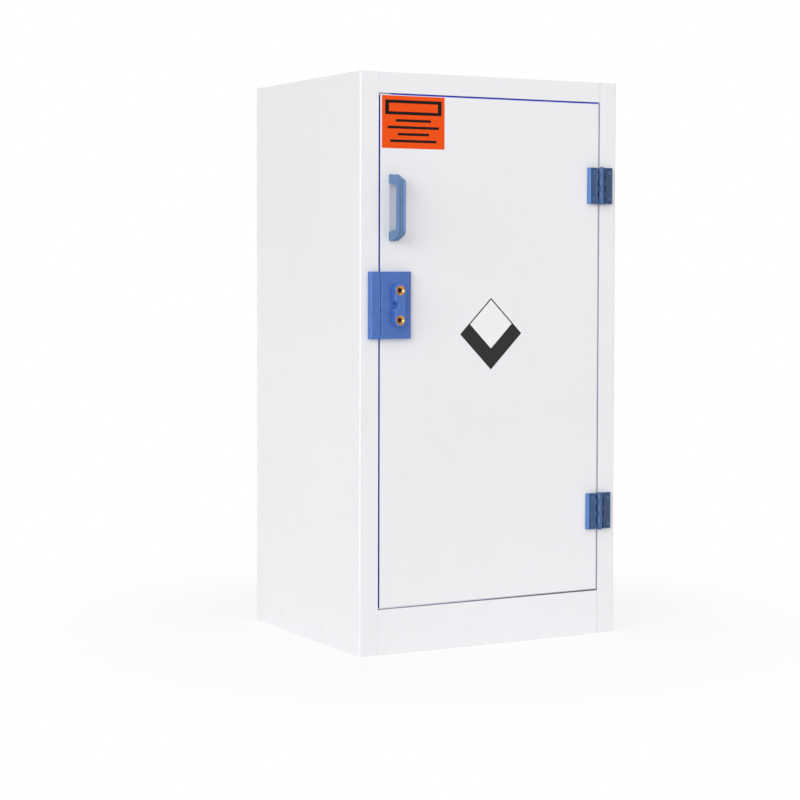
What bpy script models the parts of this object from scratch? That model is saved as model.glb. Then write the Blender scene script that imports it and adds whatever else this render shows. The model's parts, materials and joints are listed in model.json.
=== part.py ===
# Acid and alkali cabinet: a free-standing welded polypropylene box with one hinged door.
# A rim lock with two key cylinders throws two bolts into a keeper, and one lipped shelf lifts off its ledges.
# Metres, +Z up. The door faces -Y and hangs on the right. The ground is z = 0, and the origin is the middle
# of the footprint, handle included.

import math

import bmesh
import bpy
from mathutils import Matrix, Vector

# Overall size
WIDTH = 0.590
DEPTH = 0.460
HEIGHT = 1.120
HANDLE_REACH = 0.040

# Sheet and joints
SHEET = 0.008
SEAT = 0.0003
OVERRUN = 0.002
EDGE_BREAK = 0.0005
BEND_RADIUS = 0.003

# Front frame
STILE_WIDTH = 0.040
TOP_RAIL_HEIGHT = 0.040
BOTTOM_RAIL_HEIGHT = 0.088
STOP_BACKING = 0.012
STOP_LIP = 0.012
STOP_THICKNESS = 0.006

# Door
LEFT_GAP = 0.0026
RIGHT_GAP = 0.0022
TOP_GAP = 0.0020
BOTTOM_GAP = 0.0020
TRIM_THICKNESS = 0.0012
STIFFENER_WIDTH = 0.030
STIFFENER_THICKNESS = 0.008
STIFFENER_MARGIN = 0.060
STIFFENER_INSET = 0.1076

# Shelf
LEDGE_LEVELS = 4
SHELF_LEVEL = 3
FIRST_LEDGE_TOP = 0.232
LEDGE_SPACING = 0.180
LEDGE_WIDTH = 0.012
LEDGE_HEIGHT = 0.008
SHELF_SETBACK = 0.030
TRAY_HEIGHT = 0.030
TRAY_WALL = 0.005
TRAY_PLAY = 0.0008
TRAY_CORNER = 0.004

# Hinges
HINGE_HEIGHT = 0.073
UPPER_HINGE_INSET = 0.1665
LOWER_HINGE_INSET = 0.1615
HINGE_REACH = 0.029
LEAF_THICKNESS = 0.0086
LEAF_CHAMFER = 0.003
LEAF_END_CHAMFER = 0.0012
AXIS_PROUD = 0.009
KNUCKLE_RADIUS = 0.0053
KNUCKLE_COUNT = 6
KNUCKLE_PLAY = 0.0005
NOTCH_REACH = 0.0096
ARM_BITE = 0.001
FIELD_BORDER = 0.0012
FIELD_DEPTH = 0.0016
PIN_RADIUS = 0.0024
PIN_PLAY = 0.0003
PIN_HEAD_RADIUS = 0.0036
PIN_HEAD_HEIGHT = 0.0012
LEAF_SCREW_SPACING = 0.0526
DOOR_LEAF_SCREW_REACH = 0.0170
FRAME_LEAF_SCREW_REACH = 0.0212

# Screws
SCREW_RADIUS = 0.002
SCREW_HEAD_RADIUS = 0.004
SCREW_HEAD_HEIGHT = 0.0024
SCREW_PLAY = 0.0004
SCREW_BITE = 0.006
CAP_RADIUS = 0.0042
CAP_HEIGHT = 0.0012

# Pull handle
HANDLE_SETBACK = 0.0225
HANDLE_WIDTH = 0.0155
HANDLE_HEIGHT = 0.1275
HANDLE_DROP = 0.2168
HANDLE_BAR = 0.0120
HANDLE_ARM = 0.0170
HANDLE_SHOULDER = 0.0100
HANDLE_SLOPE_DROP = 0.0130
HANDLE_NOSE_ROUND = 0.0115
HANDLE_INNER_ROUND = 0.0050
HANDLE_INNER_DROP = 0.0053
HANDLE_SOFT_EDGE = 0.0017

# Lock case
LOCK_DROP = 0.1867
LOCK_HEIGHT = 0.129
LOCK_PROUD = 0.012
LOCK_SEAM = 0.0010
LOCK_END_CHAMFER = 0.0018
KEEPER_WIDTH = 0.022
KEEPER_CHAMFER = 0.0032
HOUSING_WIDTH = 0.066
HOUSING_WALL = 0.003
HOUSING_FRONT = 0.0036
SEAM_CHAMFER = 0.0010
FAR_CHAMFER_WIDTH = 0.0045
FAR_CHAMFER_DEPTH = 0.0022
POST_RADIUS = 0.004
POST_MARGIN = 0.008
NEAR_POST_SETBACK = 0.018
KEEPER_SCREW_INSET = 0.0055
KEEPER_SCREW_MARGIN = 0.012

# Key cylinders and the block round them
CYLINDER_SPACING = 0.057
CYLINDER_SETBACK = 0.034
BLOCK_WIDTH = 0.0225
BLOCK_HEIGHT = 0.082
BLOCK_PROUD = 0.014
BLOCK_CHAMFER = 0.0011
THUMB_NOTCH_RADIUS = 0.0075
BARREL_RADIUS = 0.0094
BARREL_STANDOFF = 0.0004
BARREL_RIM = 0.0009
DISH_DEPTH = 0.0030
PLUG_RADIUS = 0.0046
PLUG_PLAY = 0.0003
PLUG_SINK = 0.0004
KEYWAY_WIDTH = 0.0018
KEYWAY_HEIGHT = 0.0068
KEYWAY_DEPTH = 0.007

# Cranks and bolts
CRANK_RADIUS = 0.0085
CRANK_PIN_RADIUS = 0.0015
CRANK_PLATE = 0.0012
CRANK_HUB_RADIUS = 0.0052
CRANK_TIP_RADIUS = 0.0028
BOLT_THICKNESS = 0.0056
BOLT_SEAT = 0.0004
BOLT_PLAY = 0.0004
BOLT_NOSE_LENGTH = 0.021
BOLT_NOSE_HEIGHT = 0.016
BOLT_TAIL_HEIGHT = 0.030
BOLT_TAIL_MARGIN = 0.006
BOLT_REST_SETBACK = 0.0012
BOLT_CHAMFER = 0.0008
SLOT_PLAY = 0.0005
POCKET_PLAY = 0.0006
POCKET_BACK = 0.0070

# Roundness
ROUND_SIDES = 24
SMALL_SIDES = 12
ARC_STEPS = 12
FILLET_STEPS = 4
ROUND_PROFILE = 0.5
SMOOTH_ANGLE = math.radians(32)
CRANK_SWING = math.radians(45)

# Places worked out from the sizes
LEFT = -WIDTH / 2
RIGHT = WIDTH / 2
FRONT = (HANDLE_REACH - DEPTH) / 2
BACK = FRONT + DEPTH
OPENING_LEFT = LEFT + STILE_WIDTH
OPENING_RIGHT = RIGHT - STILE_WIDTH
OPENING_BOTTOM = BOTTOM_RAIL_HEIGHT
OPENING_TOP = HEIGHT - TOP_RAIL_HEIGHT
DOOR_LEFT = OPENING_LEFT + LEFT_GAP
DOOR_RIGHT = OPENING_RIGHT - RIGHT_GAP
DOOR_BOTTOM = OPENING_BOTTOM + BOTTOM_GAP
DOOR_TOP = OPENING_TOP - TOP_GAP
DOOR_BACK = FRONT + SHEET
INNER_LEFT = LEFT + SHEET
INNER_RIGHT = RIGHT - SHEET
INNER_BACK = BACK - SHEET
STOP_FRONT = DOOR_BACK + SEAT
STOP_BACK = STOP_FRONT + STOP_THICKNESS
HINGE_AXIS = Vector((OPENING_RIGHT - RIGHT_GAP / 2, FRONT - AXIS_PROUD, 0))
HINGE_CENTRES = {"upper": DOOR_TOP - UPPER_HINGE_INSET, "lower": DOOR_BOTTOM + LOWER_HINGE_INSET}
HANDLE_CENTRE = DOOR_TOP - HANDLE_DROP
LOCK_CENTRE = HANDLE_CENTRE - LOCK_DROP
HOUSING_LEFT = OPENING_LEFT
HOUSING_RIGHT = HOUSING_LEFT + HOUSING_WIDTH
KEEPER_RIGHT = HOUSING_LEFT - LOCK_SEAM
KEEPER_LEFT = KEEPER_RIGHT - KEEPER_WIDTH
LOCK_BOTTOM = LOCK_CENTRE - LOCK_HEIGHT / 2
LOCK_TOP = LOCK_CENTRE + LOCK_HEIGHT / 2
CYLINDER_X = HOUSING_LEFT + CYLINDER_SETBACK
KEY_HEIGHTS = {
    "upper": LOCK_CENTRE + CYLINDER_SPACING / 2,
    "lower": LOCK_CENTRE - CYLINDER_SPACING / 2,
}
CAVITY_PROUD = LOCK_PROUD - HOUSING_FRONT
BLOCK_REAR = LOCK_PROUD + SEAT
BLOCK_FRONT = BLOCK_REAR + BLOCK_PROUD
BOLT_FRONT = BOLT_SEAT + BOLT_THICKNESS
CRANK_REAR = BOLT_FRONT + BOLT_SEAT
BARREL_REAR = CRANK_REAR + CRANK_PLATE + SEAT
BARREL_FRONT = BLOCK_FRONT + BARREL_STANDOFF
CRANK_OFFSET = CRANK_RADIUS * math.sin(CRANK_SWING)
BOLT_THROW = 2 * CRANK_OFFSET
BOLT_TIP = HOUSING_LEFT + BOLT_REST_SETBACK
SHELF_FRONT = DOOR_BACK + SHELF_SETBACK
SHELF_BOTTOM = FIRST_LEDGE_TOP + (SHELF_LEVEL - 1) * LEDGE_SPACING + SEAT


def proud(distance):
    """The y of a plane that stands this far in front of the door's face."""
    return FRONT - distance


# Shapes

def block(low, high):
    """A box between two corners."""
    low, high = Vector(low), Vector(high)
    bm = bmesh.new()
    bmesh.ops.create_cube(bm, size=1)
    bmesh.ops.scale(bm, vec=high - low, verts=bm.verts)
    bmesh.ops.translate(bm, vec=(low + high) / 2, verts=bm.verts)
    return bm


def prism(outline, axis, low, high):
    """An outline, given in the two other directions in order, pushed along X, Y or Z from low to high."""
    slot = "XYZ".index(axis)
    bm = bmesh.new()
    corners = []
    for first, second in outline:
        place = [first, second]
        place.insert(slot, low)
        corners.append(bm.verts.new(place))
    face = bm.faces.new(corners)
    pushed = bmesh.ops.extrude_face_region(bm, geom=[face])
    push = Vector((0, 0, 0))
    push[slot] = high - low
    bmesh.ops.translate(bm, vec=push, verts=[g for g in pushed["geom"] if isinstance(g, bmesh.types.BMVert)])
    bmesh.ops.recalc_face_normals(bm, faces=bm.faces)
    return bm


def rod(radius, low, high, sides=ROUND_SIDES):
    """A cylinder about Z."""
    bm = bmesh.new()
    bmesh.ops.create_cone(bm, cap_ends=True, segments=sides, radius1=radius, radius2=radius, depth=high - low)
    bmesh.ops.translate(bm, vec=(0, 0, (low + high) / 2), verts=bm.verts)
    return bm


def turned(profile, sides=ROUND_SIDES):
    """A closed profile of radius and height, spun all the way about Z."""
    bm = bmesh.new()
    ring = [bm.verts.new((radius, 0, height)) for radius, height in profile]
    for start, end in zip(ring, ring[1:] + ring[:1]):
        if start.co.x > 0 or end.co.x > 0:
            bm.edges.new((start, end))
    geometry = bm.verts[:] + bm.edges[:]
    bmesh.ops.spin(bm, geom=geometry, cent=(0, 0, 0), axis=(0, 0, 1), angle=math.tau, steps=sides, use_merge=True)
    bmesh.ops.remove_doubles(bm, verts=bm.verts, dist=SEAT / ROUND_SIDES)
    bmesh.ops.recalc_face_normals(bm, faces=bm.faces)
    return bm


def moved(bm, place):
    bmesh.ops.translate(bm, vec=place, verts=bm.verts)
    return bm


def facing_out(bm, x, z):
    """Turns a shape made about Z to point out of the door, its heights counted from the door's face."""
    bmesh.ops.rotate(bm, cent=(0, 0, 0), matrix=Matrix.Rotation(math.pi / 2, 3, "X"), verts=bm.verts)
    return moved(bm, (x, FRONT, z))


def bevelled(bm, width, steps=1, chosen=None):
    """Cuts or rounds the edges that the test picks, or all of them."""
    edges = [edge for edge in bm.edges if chosen is None or chosen(edge)]
    bmesh.ops.bevel(
        bm, geom=edges, offset=width, offset_type="OFFSET", affect="EDGES",
        segments=steps, profile=ROUND_PROFILE, clamp_overlap=True, material=-1,
    )
    return bm


def gathered(shapes):
    """Several separate shapes as one mesh."""
    whole = bmesh.new()
    for bm in shapes:
        mesh = bpy.data.meshes.new("piece")
        bm.to_mesh(mesh)
        bm.free()
        whole.from_mesh(mesh)
        bpy.data.meshes.remove(mesh)
    return whole


def arc(centre, radius, start, end, steps=ARC_STEPS):
    """Points from one angle to another, ends included."""
    turns = [start + (end - start) * step / steps for step in range(steps + 1)]
    return [(centre[0] + radius * math.cos(turn), centre[1] + radius * math.sin(turn)) for turn in turns]


def rounded(corners):
    """An outline whose corners, given as two places and a radius, are rounded by arcs."""
    outline = []
    for index, (first, second, radius) in enumerate(corners):
        here = Vector((first, second))
        if radius == 0:
            outline.append(here[:])
            continue
        before = Vector(corners[index - 1][:2]) - here
        after = Vector(corners[(index + 1) % len(corners)][:2]) - here
        half = before.angle(after) / 2
        middle = (before.normalized() + after.normalized()).normalized()
        centre = here + middle * (radius / math.sin(half))
        reach = radius / math.tan(half)
        start = here + before.normalized() * reach - centre
        end = here + after.normalized() * reach - centre
        turn = start.angle_signed(end)
        for step in range(FILLET_STEPS + 1):
            spoke = start.copy()
            spoke.rotate(Matrix.Rotation(-turn * step / FILLET_STEPS, 2))
            outline.append((centre + spoke)[:])
    return outline


# Pieces and materials

def material(name, colour, roughness, metallic=0.0):
    found = bpy.data.materials.get(name)
    if found:
        return found
    made = bpy.data.materials.new(name)
    made.use_nodes = True
    shader = made.node_tree.nodes["Principled BSDF"]
    shader.inputs["Base Color"].default_value = (*colour, 1)
    shader.inputs["Roughness"].default_value = roughness
    shader.inputs["Metallic"].default_value = metallic
    made.diffuse_color = (*colour, 1)
    return made


def white_sheet():
    return material("white_polypropylene", (0.82, 0.82, 0.84), 0.32)


def blue_sheet():
    return material("blue_polypropylene_strip", (0.02, 0.09, 0.42), 0.4)


def blue_moulding():
    return material("blue_moulded_polypropylene", (0.085, 0.17, 0.45), 0.38)


def pale_blue_moulding():
    return material("pale_blue_moulded_polypropylene", (0.13, 0.26, 0.50), 0.36)


def brass():
    return material("polished_brass", (0.80, 0.50, 0.18), 0.22, 1.0)


def steel():
    return material("stainless_steel", (0.62, 0.62, 0.62), 0.28, 1.0)


def bolt_plastic():
    return material("blue_bolt_polypropylene", (0.06, 0.13, 0.36), 0.35)


def new_object(name, bm, place):
    mesh = bpy.data.meshes.new(name)
    moved(bm, -Vector(place))
    bm.to_mesh(mesh)
    bm.free()
    made = bpy.data.objects.new(name, mesh)
    made.location = place
    bpy.context.collection.objects.link(made)
    return made


def piece(name, bm, finish, axis=None, smooth=False):
    """One part of the cabinet. A moving one hangs from the empty on its joint's axis."""
    place = Vector((0, 0, 0))
    if axis:
        place = axis_place(axis)
    made = new_object(name, bm, place)
    made.data.materials.append(finish)
    if axis:
        made.parent = axis
        made.location = (0, 0, 0)
    if smooth:
        made.data.shade_smooth()
        made.data.set_sharp_from_angle(angle=SMOOTH_ANGLE)
    return made


def axis_place(axis):
    place = axis.location.copy()
    while axis.parent:
        axis = axis.parent
        place += axis.location
    return place


def axis_empty(name, place, parent=None):
    made = bpy.data.objects.new(name, None)
    made.empty_display_type = "ARROWS"
    made.empty_display_size = SHEET
    made.location = Vector(place)
    if parent:
        made.parent = parent
        made.location -= axis_place(parent)
    bpy.context.collection.objects.link(made)
    return made


def shaped(target, bm, operation):
    """Adds a hidden guide and a Boolean on the target."""
    guide = new_object("guide_" + target.name + "_" + str(len(target.modifiers)), bm, (0, 0, 0))
    guide.hide_render = True
    guide.display_type = "WIRE"
    step = target.modifiers.new(operation.lower(), "BOOLEAN")
    step.operation = operation
    step.solver = "EXACT"
    step.object = guide
    return target


def cut(target, bm):
    return shaped(target, bm, "DIFFERENCE")


def fused(target, bm):
    return shaped(target, bm, "UNION")


# Screws and their holes

def inner_screw(x, z):
    """A pan head screw driven from inside, through the sheet, into what stands on its face."""
    head_top = -SHEET - SEAT
    head_low = head_top - SCREW_HEAD_HEIGHT
    profile = [
        (0, head_low), (SCREW_HEAD_RADIUS, head_low), (SCREW_HEAD_RADIUS, head_top),
        (SCREW_RADIUS, head_top), (SCREW_RADIUS, SCREW_BITE), (0, SCREW_BITE),
    ]
    return facing_out(turned(profile, SMALL_SIDES), x, z)


def screw_holes(places, low, high):
    """Clearance holes along the screws at these places, from one distance out of the door's face to another."""
    return gathered([facing_out(rod(SCREW_RADIUS + SCREW_PLAY, low, high, SMALL_SIDES), x, z) for x, z in places])


def sheet_holes(places):
    return screw_holes(places, -SHEET - OVERRUN, OVERRUN)


def pilot_holes(places):
    """Holes in what stands on the door's face, for screws from inside."""
    return screw_holes(places, -OVERRUN, SCREW_BITE + SCREW_PLAY)


def blind_holes(places):
    """Holes into the sheet from its face, for screws from the front."""
    return screw_holes(places, -SCREW_BITE - SCREW_PLAY, OVERRUN)


def keeper_screw_places():
    x = KEEPER_LEFT + KEEPER_SCREW_INSET
    return [(x, LOCK_BOTTOM + KEEPER_SCREW_MARGIN), (x, LOCK_TOP - KEEPER_SCREW_MARGIN)]


def lock_screw_places():
    columns = (HOUSING_LEFT + NEAR_POST_SETBACK, HOUSING_RIGHT - POST_MARGIN)
    rows = (LOCK_BOTTOM + POST_MARGIN, LOCK_TOP - POST_MARGIN)
    return [(x, z) for x in columns for z in rows]


def handle_screw_places():
    x = OPENING_LEFT + HANDLE_SETBACK + HANDLE_WIDTH / 2
    offset = (HANDLE_HEIGHT - HANDLE_ARM) / 2
    return [(x, HANDLE_CENTRE - offset), (x, HANDLE_CENTRE + offset)]


def leaf_screw_places(centre, reach):
    """Two places on one leaf, at this reach from the hinge axis."""
    x = HINGE_AXIS.x + reach
    return [(x, centre + end * LEAF_SCREW_SPACING / 2) for end in (-1, 1)]


def numbered(name, shapes, finish, axis=None):
    """Like pieces, each its own, numbered from 1."""
    for index, bm in enumerate(shapes):
        piece(name + "_" + str(index + 1), bm, finish, axis, smooth=True)


# Welded box

def side_panel(name, side):
    """A sheet bent round the front corner into the stile."""
    outer = side * WIDTH / 2
    inner = outer - side * SHEET
    stile = outer - side * STILE_WIDTH
    outline = [
        (outer, FRONT), (stile, FRONT), (stile, DOOR_BACK), (inner, DOOR_BACK), (inner, BACK), (outer, BACK),
    ]
    bm = prism(outline, "Z", 0, HEIGHT)

    def outside_bend(edge):
        return all(abs(v.co.x - outer) < SEAT and abs(v.co.y - FRONT) < SEAT for v in edge.verts)

    bevelled(bm, BEND_RADIUS, FILLET_STEPS, outside_bend)
    return piece(name, bm, white_sheet(), smooth=True)


def sheet_panel(name, low, high, finish=None, axis=None):
    return piece(name, bevelled(block(low, high), EDGE_BREAK), finish or white_sheet(), axis)


def build_box():
    left = side_panel("left_side_panel", -1)
    right = side_panel("right_side_panel", 1)
    cut(left, sheet_holes(keeper_screw_places()))
    for centre in HINGE_CENTRES.values():
        cut(right, blind_holes(leaf_screw_places(centre, FRAME_LEAF_SCREW_REACH)))
    near, far = INNER_LEFT + SEAT, INNER_RIGHT - SEAT
    sheet_panel("back_panel", (near, INNER_BACK, 0), (far, BACK, HEIGHT))
    floor_front, floor_back = DOOR_BACK + SEAT, INNER_BACK - SEAT
    sheet_panel("floor_panel", (near, floor_front, 0), (far, floor_back, SHEET))
    sheet_panel("top_panel", (near, floor_front, HEIGHT - SHEET), (far, floor_back, HEIGHT))
    rail_left, rail_right = OPENING_LEFT + SEAT, OPENING_RIGHT - SEAT
    sheet_panel("bottom_rail", (rail_left, FRONT, 0), (rail_right, DOOR_BACK, OPENING_BOTTOM))
    sheet_panel("top_rail", (rail_left, FRONT, OPENING_TOP), (rail_right, DOOR_BACK, HEIGHT))


def build_door_stops():
    """Strips behind the frame, whose lips the closed door rests on."""
    low = OPENING_BOTTOM - STOP_BACKING
    high = OPENING_TOP + STOP_BACKING
    sheet_panel(
        "door_stop_left",
        (OPENING_LEFT - STOP_BACKING, STOP_FRONT, low), (OPENING_LEFT + STOP_LIP, STOP_BACK, high), blue_sheet(),
    )
    sheet_panel(
        "door_stop_right",
        (OPENING_RIGHT - STOP_LIP, STOP_FRONT, low), (OPENING_RIGHT + STOP_BACKING, STOP_BACK, high), blue_sheet(),
    )
    near, far = OPENING_LEFT + STOP_LIP + SEAT, OPENING_RIGHT - STOP_LIP - SEAT
    sheet_panel(
        "door_stop_bottom", (near, STOP_FRONT, low), (far, STOP_BACK, OPENING_BOTTOM + STOP_LIP), blue_sheet(),
    )
    sheet_panel(
        "door_stop_top", (near, STOP_FRONT, OPENING_TOP - STOP_LIP), (far, STOP_BACK, high), blue_sheet(),
    )


def build_ledges():
    for level in range(LEDGE_LEVELS):
        top = FIRST_LEDGE_TOP + level * LEDGE_SPACING
        low_y, high_y = SHELF_FRONT, INNER_BACK - SEAT
        near = INNER_LEFT + SEAT
        far = INNER_RIGHT - SEAT
        sheet_panel(
            "shelf_ledge_left_" + str(level + 1),
            (near, low_y, top - LEDGE_HEIGHT), (near + LEDGE_WIDTH, high_y, top),
        )
        sheet_panel(
            "shelf_ledge_right_" + str(level + 1),
            (far - LEDGE_WIDTH, low_y, top - LEDGE_HEIGHT), (far, high_y, top),
        )


def build_shelf():
    low = Vector((INNER_LEFT + TRAY_PLAY, SHELF_FRONT, SHELF_BOTTOM))
    high = Vector((INNER_RIGHT - TRAY_PLAY, INNER_BACK - TRAY_PLAY, SHELF_BOTTOM + TRAY_HEIGHT))
    bm = block(low, high)
    bevelled(bm, TRAY_CORNER, FILLET_STEPS, lambda edge: abs(edge.verts[0].co.z - edge.verts[1].co.z) > TRAY_WALL)
    top = [max(bm.faces, key=lambda face: face.calc_center_median().z)]
    bmesh.ops.inset_individual(bm, faces=top, thickness=TRAY_WALL, depth=0)
    bmesh.ops.inset_individual(bm, faces=top, thickness=0, depth=TRAY_WALL - TRAY_HEIGHT)
    shelf_axis = axis_empty("shelf_lift_axis", ((low.x + high.x) / 2, (low.y + high.y) / 2, low.z))
    piece("shelf_tray", bm, white_sheet(), shelf_axis, smooth=True)


# Door

def build_door(door_axis):
    trim = TRIM_THICKNESS + SEAT
    low = (DOOR_LEFT + trim, FRONT, DOOR_BOTTOM + trim)
    high = (DOOR_RIGHT - trim, DOOR_BACK, DOOR_TOP - trim)
    panel = sheet_panel("door_panel", low, high, axis=door_axis)
    cut(panel, sheet_holes(lock_screw_places() + handle_screw_places()))
    for centre in HINGE_CENTRES.values():
        cut(panel, blind_holes(leaf_screw_places(centre, -DOOR_LEAF_SCREW_REACH)))

    edging = piece(
        "door_edge_trim",
        block((DOOR_LEFT, FRONT, DOOR_BOTTOM), (DOOR_RIGHT, DOOR_BACK, DOOR_TOP)), blue_sheet(), door_axis,
    )
    cut(edging, block(
        (DOOR_LEFT + TRIM_THICKNESS, FRONT - OVERRUN, DOOR_BOTTOM + TRIM_THICKNESS),
        (DOOR_RIGHT - TRIM_THICKNESS, DOOR_BACK + OVERRUN, DOOR_TOP - TRIM_THICKNESS),
    ))

    left_bar = DOOR_LEFT + STIFFENER_INSET
    right_bar = DOOR_RIGHT - STIFFENER_INSET - STIFFENER_WIDTH
    for name, near in (("left", left_bar), ("right", right_bar)):
        sheet_panel(
            "door_stiffener_" + name,
            (near, DOOR_BACK + SEAT, DOOR_BOTTOM + STIFFENER_MARGIN),
            (near + STIFFENER_WIDTH, DOOR_BACK + SEAT + STIFFENER_THICKNESS, DOOR_TOP - STIFFENER_MARGIN),
            axis=door_axis,
        )


def handle_outline():
    """The bow's side view, as places out of the door's face and heights, then as y and z."""
    half = HANDLE_HEIGHT / 2
    inner = HANDLE_REACH - HANDLE_BAR
    window = half - HANDLE_ARM
    upper = [
        (SEAT, half, 0),
        (HANDLE_SHOULDER, half, 0),
        (HANDLE_REACH, half - HANDLE_SLOPE_DROP, HANDLE_NOSE_ROUND),
    ]
    window_upper = [
        (inner, window - HANDLE_INNER_DROP, HANDLE_INNER_ROUND),
        (SEAT, window, 0),
    ]
    lower = [(out, -height, radius) for out, height, radius in reversed(upper)]
    window_lower = [(out, -height, radius) for out, height, radius in reversed(window_upper)]
    outline = rounded(upper + lower + window_lower + window_upper)
    return [(proud(out), HANDLE_CENTRE + height) for out, height in outline]


def build_handle(door_axis):
    left = OPENING_LEFT + HANDLE_SETBACK
    bm = prism(handle_outline(), "X", left, left + HANDLE_WIDTH)
    base = proud(SEAT)

    def along_side(edge):
        on_side = abs(edge.verts[0].co.x - edge.verts[1].co.x) < SEAT
        return on_side and any(abs(v.co.y - base) > SEAT for v in edge.verts)

    bevelled(bm, HANDLE_SOFT_EDGE, 2, along_side)
    handle = piece("pull_handle", bm, pale_blue_moulding(), door_axis, smooth=True)
    cut(handle, pilot_holes(handle_screw_places()))
    numbered("handle_screw", [inner_screw(x, z) for x, z in handle_screw_places()], steel(), door_axis)


# Hinges

def knuckle_rows(centre, offset):
    """Low and high ends of every second knuckle, from the top one down."""
    pitch = HINGE_HEIGHT / KNUCKLE_COUNT
    rows = []
    for index in range(offset, KNUCKLE_COUNT, 2):
        high = centre + HINGE_HEIGHT / 2 - index * pitch
        rows.append((high - pitch + KNUCKLE_PLAY / 2, high - KNUCKLE_PLAY / 2))
    return rows


def knuckle_outline(side):
    """A knuckle from above, with the arm that reaches into its leaf."""
    arm_front = AXIS_PROUD - LEAF_THICKNESS + SEAT
    arm_end = NOTCH_REACH + ARM_BITE
    start = math.asin(arm_front / KNUCKLE_RADIUS)
    outline = arc((0, 0), KNUCKLE_RADIUS, start, math.pi / 2 - math.tau, ROUND_SIDES)
    outline += [(arm_end, KNUCKLE_RADIUS), (arm_end, arm_front)]
    return [(HINGE_AXIS.x + side * along, HINGE_AXIS.y + back) for along, back in outline]


def hinge_leaf(name, centre, side, rows, screw_reach, axis):
    """A plate with a sunk field and chamfered rim, fused to its knuckles by arms that cross the notch."""
    near = HINGE_AXIS.x + side * NOTCH_REACH
    far = HINGE_AXIS.x + side * HINGE_REACH
    face = proud(LEAF_THICKNESS)
    outline = [
        (near, proud(SEAT)), (far, proud(SEAT)), (far, face + LEAF_CHAMFER), (far - side * LEAF_CHAMFER, face),
        (near, face),
    ]
    low, high = centre - HINGE_HEIGHT / 2, centre + HINGE_HEIGHT / 2
    bm = prism(outline, "Z", low, high)
    bevelled(bm, LEAF_END_CHAMFER, 1, lambda edge: (
        all(abs(v.co.y - face) < SEAT for v in edge.verts) and abs(edge.verts[0].co.z - edge.verts[1].co.z) < SEAT))
    front = [f for f in bm.faces if all(abs(v.co.y - face) < SEAT for v in f.verts)]
    bmesh.ops.inset_individual(bm, faces=front, thickness=FIELD_BORDER, depth=0)
    bmesh.ops.inset_individual(bm, faces=front, thickness=FIELD_DEPTH, depth=-FIELD_DEPTH)
    leaf = piece(name, bm, blue_moulding(), axis, smooth=True)
    fused(leaf, gathered([prism(knuckle_outline(side), "Z", bottom, top) for bottom, top in rows]))
    bore = rod(PIN_RADIUS + PIN_PLAY, low - OVERRUN, high + OVERRUN)
    cut(leaf, moved(bore, (HINGE_AXIS.x, HINGE_AXIS.y, 0)))
    floor = LEAF_THICKNESS - FIELD_DEPTH
    hole = SCREW_RADIUS + SCREW_PLAY
    recess = CAP_RADIUS + SEAT
    profile = [
        (0, -OVERRUN), (hole, -OVERRUN), (hole, floor - SEAT), (recess, floor - SEAT),
        (recess, LEAF_THICKNESS + OVERRUN), (0, LEAF_THICKNESS + OVERRUN),
    ]
    places = leaf_screw_places(centre, side * screw_reach)
    cut(leaf, gathered([facing_out(turned(profile, SMALL_SIDES), x, z) for x, z in places]))


def hinge_pin(name, centre):
    half = HINGE_HEIGHT / 2 + SEAT
    end = half + PIN_HEAD_HEIGHT
    profile = [
        (0, -end), (PIN_HEAD_RADIUS, -end), (PIN_HEAD_RADIUS, -half), (PIN_RADIUS, -half),
        (PIN_RADIUS, half), (PIN_HEAD_RADIUS, half), (PIN_HEAD_RADIUS, end), (0, end),
    ]
    bm = moved(turned(profile), (HINGE_AXIS.x, HINGE_AXIS.y, centre))
    return piece(name, bm, blue_moulding(), smooth=True)


def cap_screw(x, z):
    """A screw driven from the front, under a round cap in its leaf's field."""
    cap_low = LEAF_THICKNESS - FIELD_DEPTH
    profile = [
        (0, -SCREW_BITE), (SCREW_RADIUS, -SCREW_BITE), (SCREW_RADIUS, cap_low),
        (CAP_RADIUS, cap_low), (CAP_RADIUS, cap_low + CAP_HEIGHT), (0, cap_low + CAP_HEIGHT),
    ]
    return facing_out(turned(profile, SMALL_SIDES), x, z)


def build_hinges(door_axis):
    for level, centre in HINGE_CENTRES.items():
        halves = (
            ("frame", 1, 0, FRAME_LEAF_SCREW_REACH, None),
            ("door", -1, 1, DOOR_LEAF_SCREW_REACH, door_axis),
        )
        for half, side, first_row, reach, axis in halves:
            name = level + "_hinge_" + half
            hinge_leaf(name + "_leaf", centre, side, knuckle_rows(centre, first_row), reach, axis)
            screws = [cap_screw(x, z) for x, z in leaf_screw_places(centre, side * reach)]
            numbered(name + "_screw", screws, blue_moulding(), axis)
        hinge_pin(level + "_hinge_pin", centre)


# Lock

def bolt_window(x_low, x_high, centre, play):
    """The space that a bolt's nose slides through, open to the door's face."""
    half = BOLT_NOSE_HEIGHT / 2 + play
    return block((x_low, proud(BOLT_FRONT + play), centre - half), (x_high, proud(-OVERRUN), centre + half))


def on_lock_end(edge):
    """True for an edge across the top or bottom of the lock case, along its front."""
    level = abs(edge.verts[0].co.z - edge.verts[1].co.z) < SEAT
    return level and all(abs(v.co.y - proud(LOCK_PROUD)) < SEAT for v in edge.verts)


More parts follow.
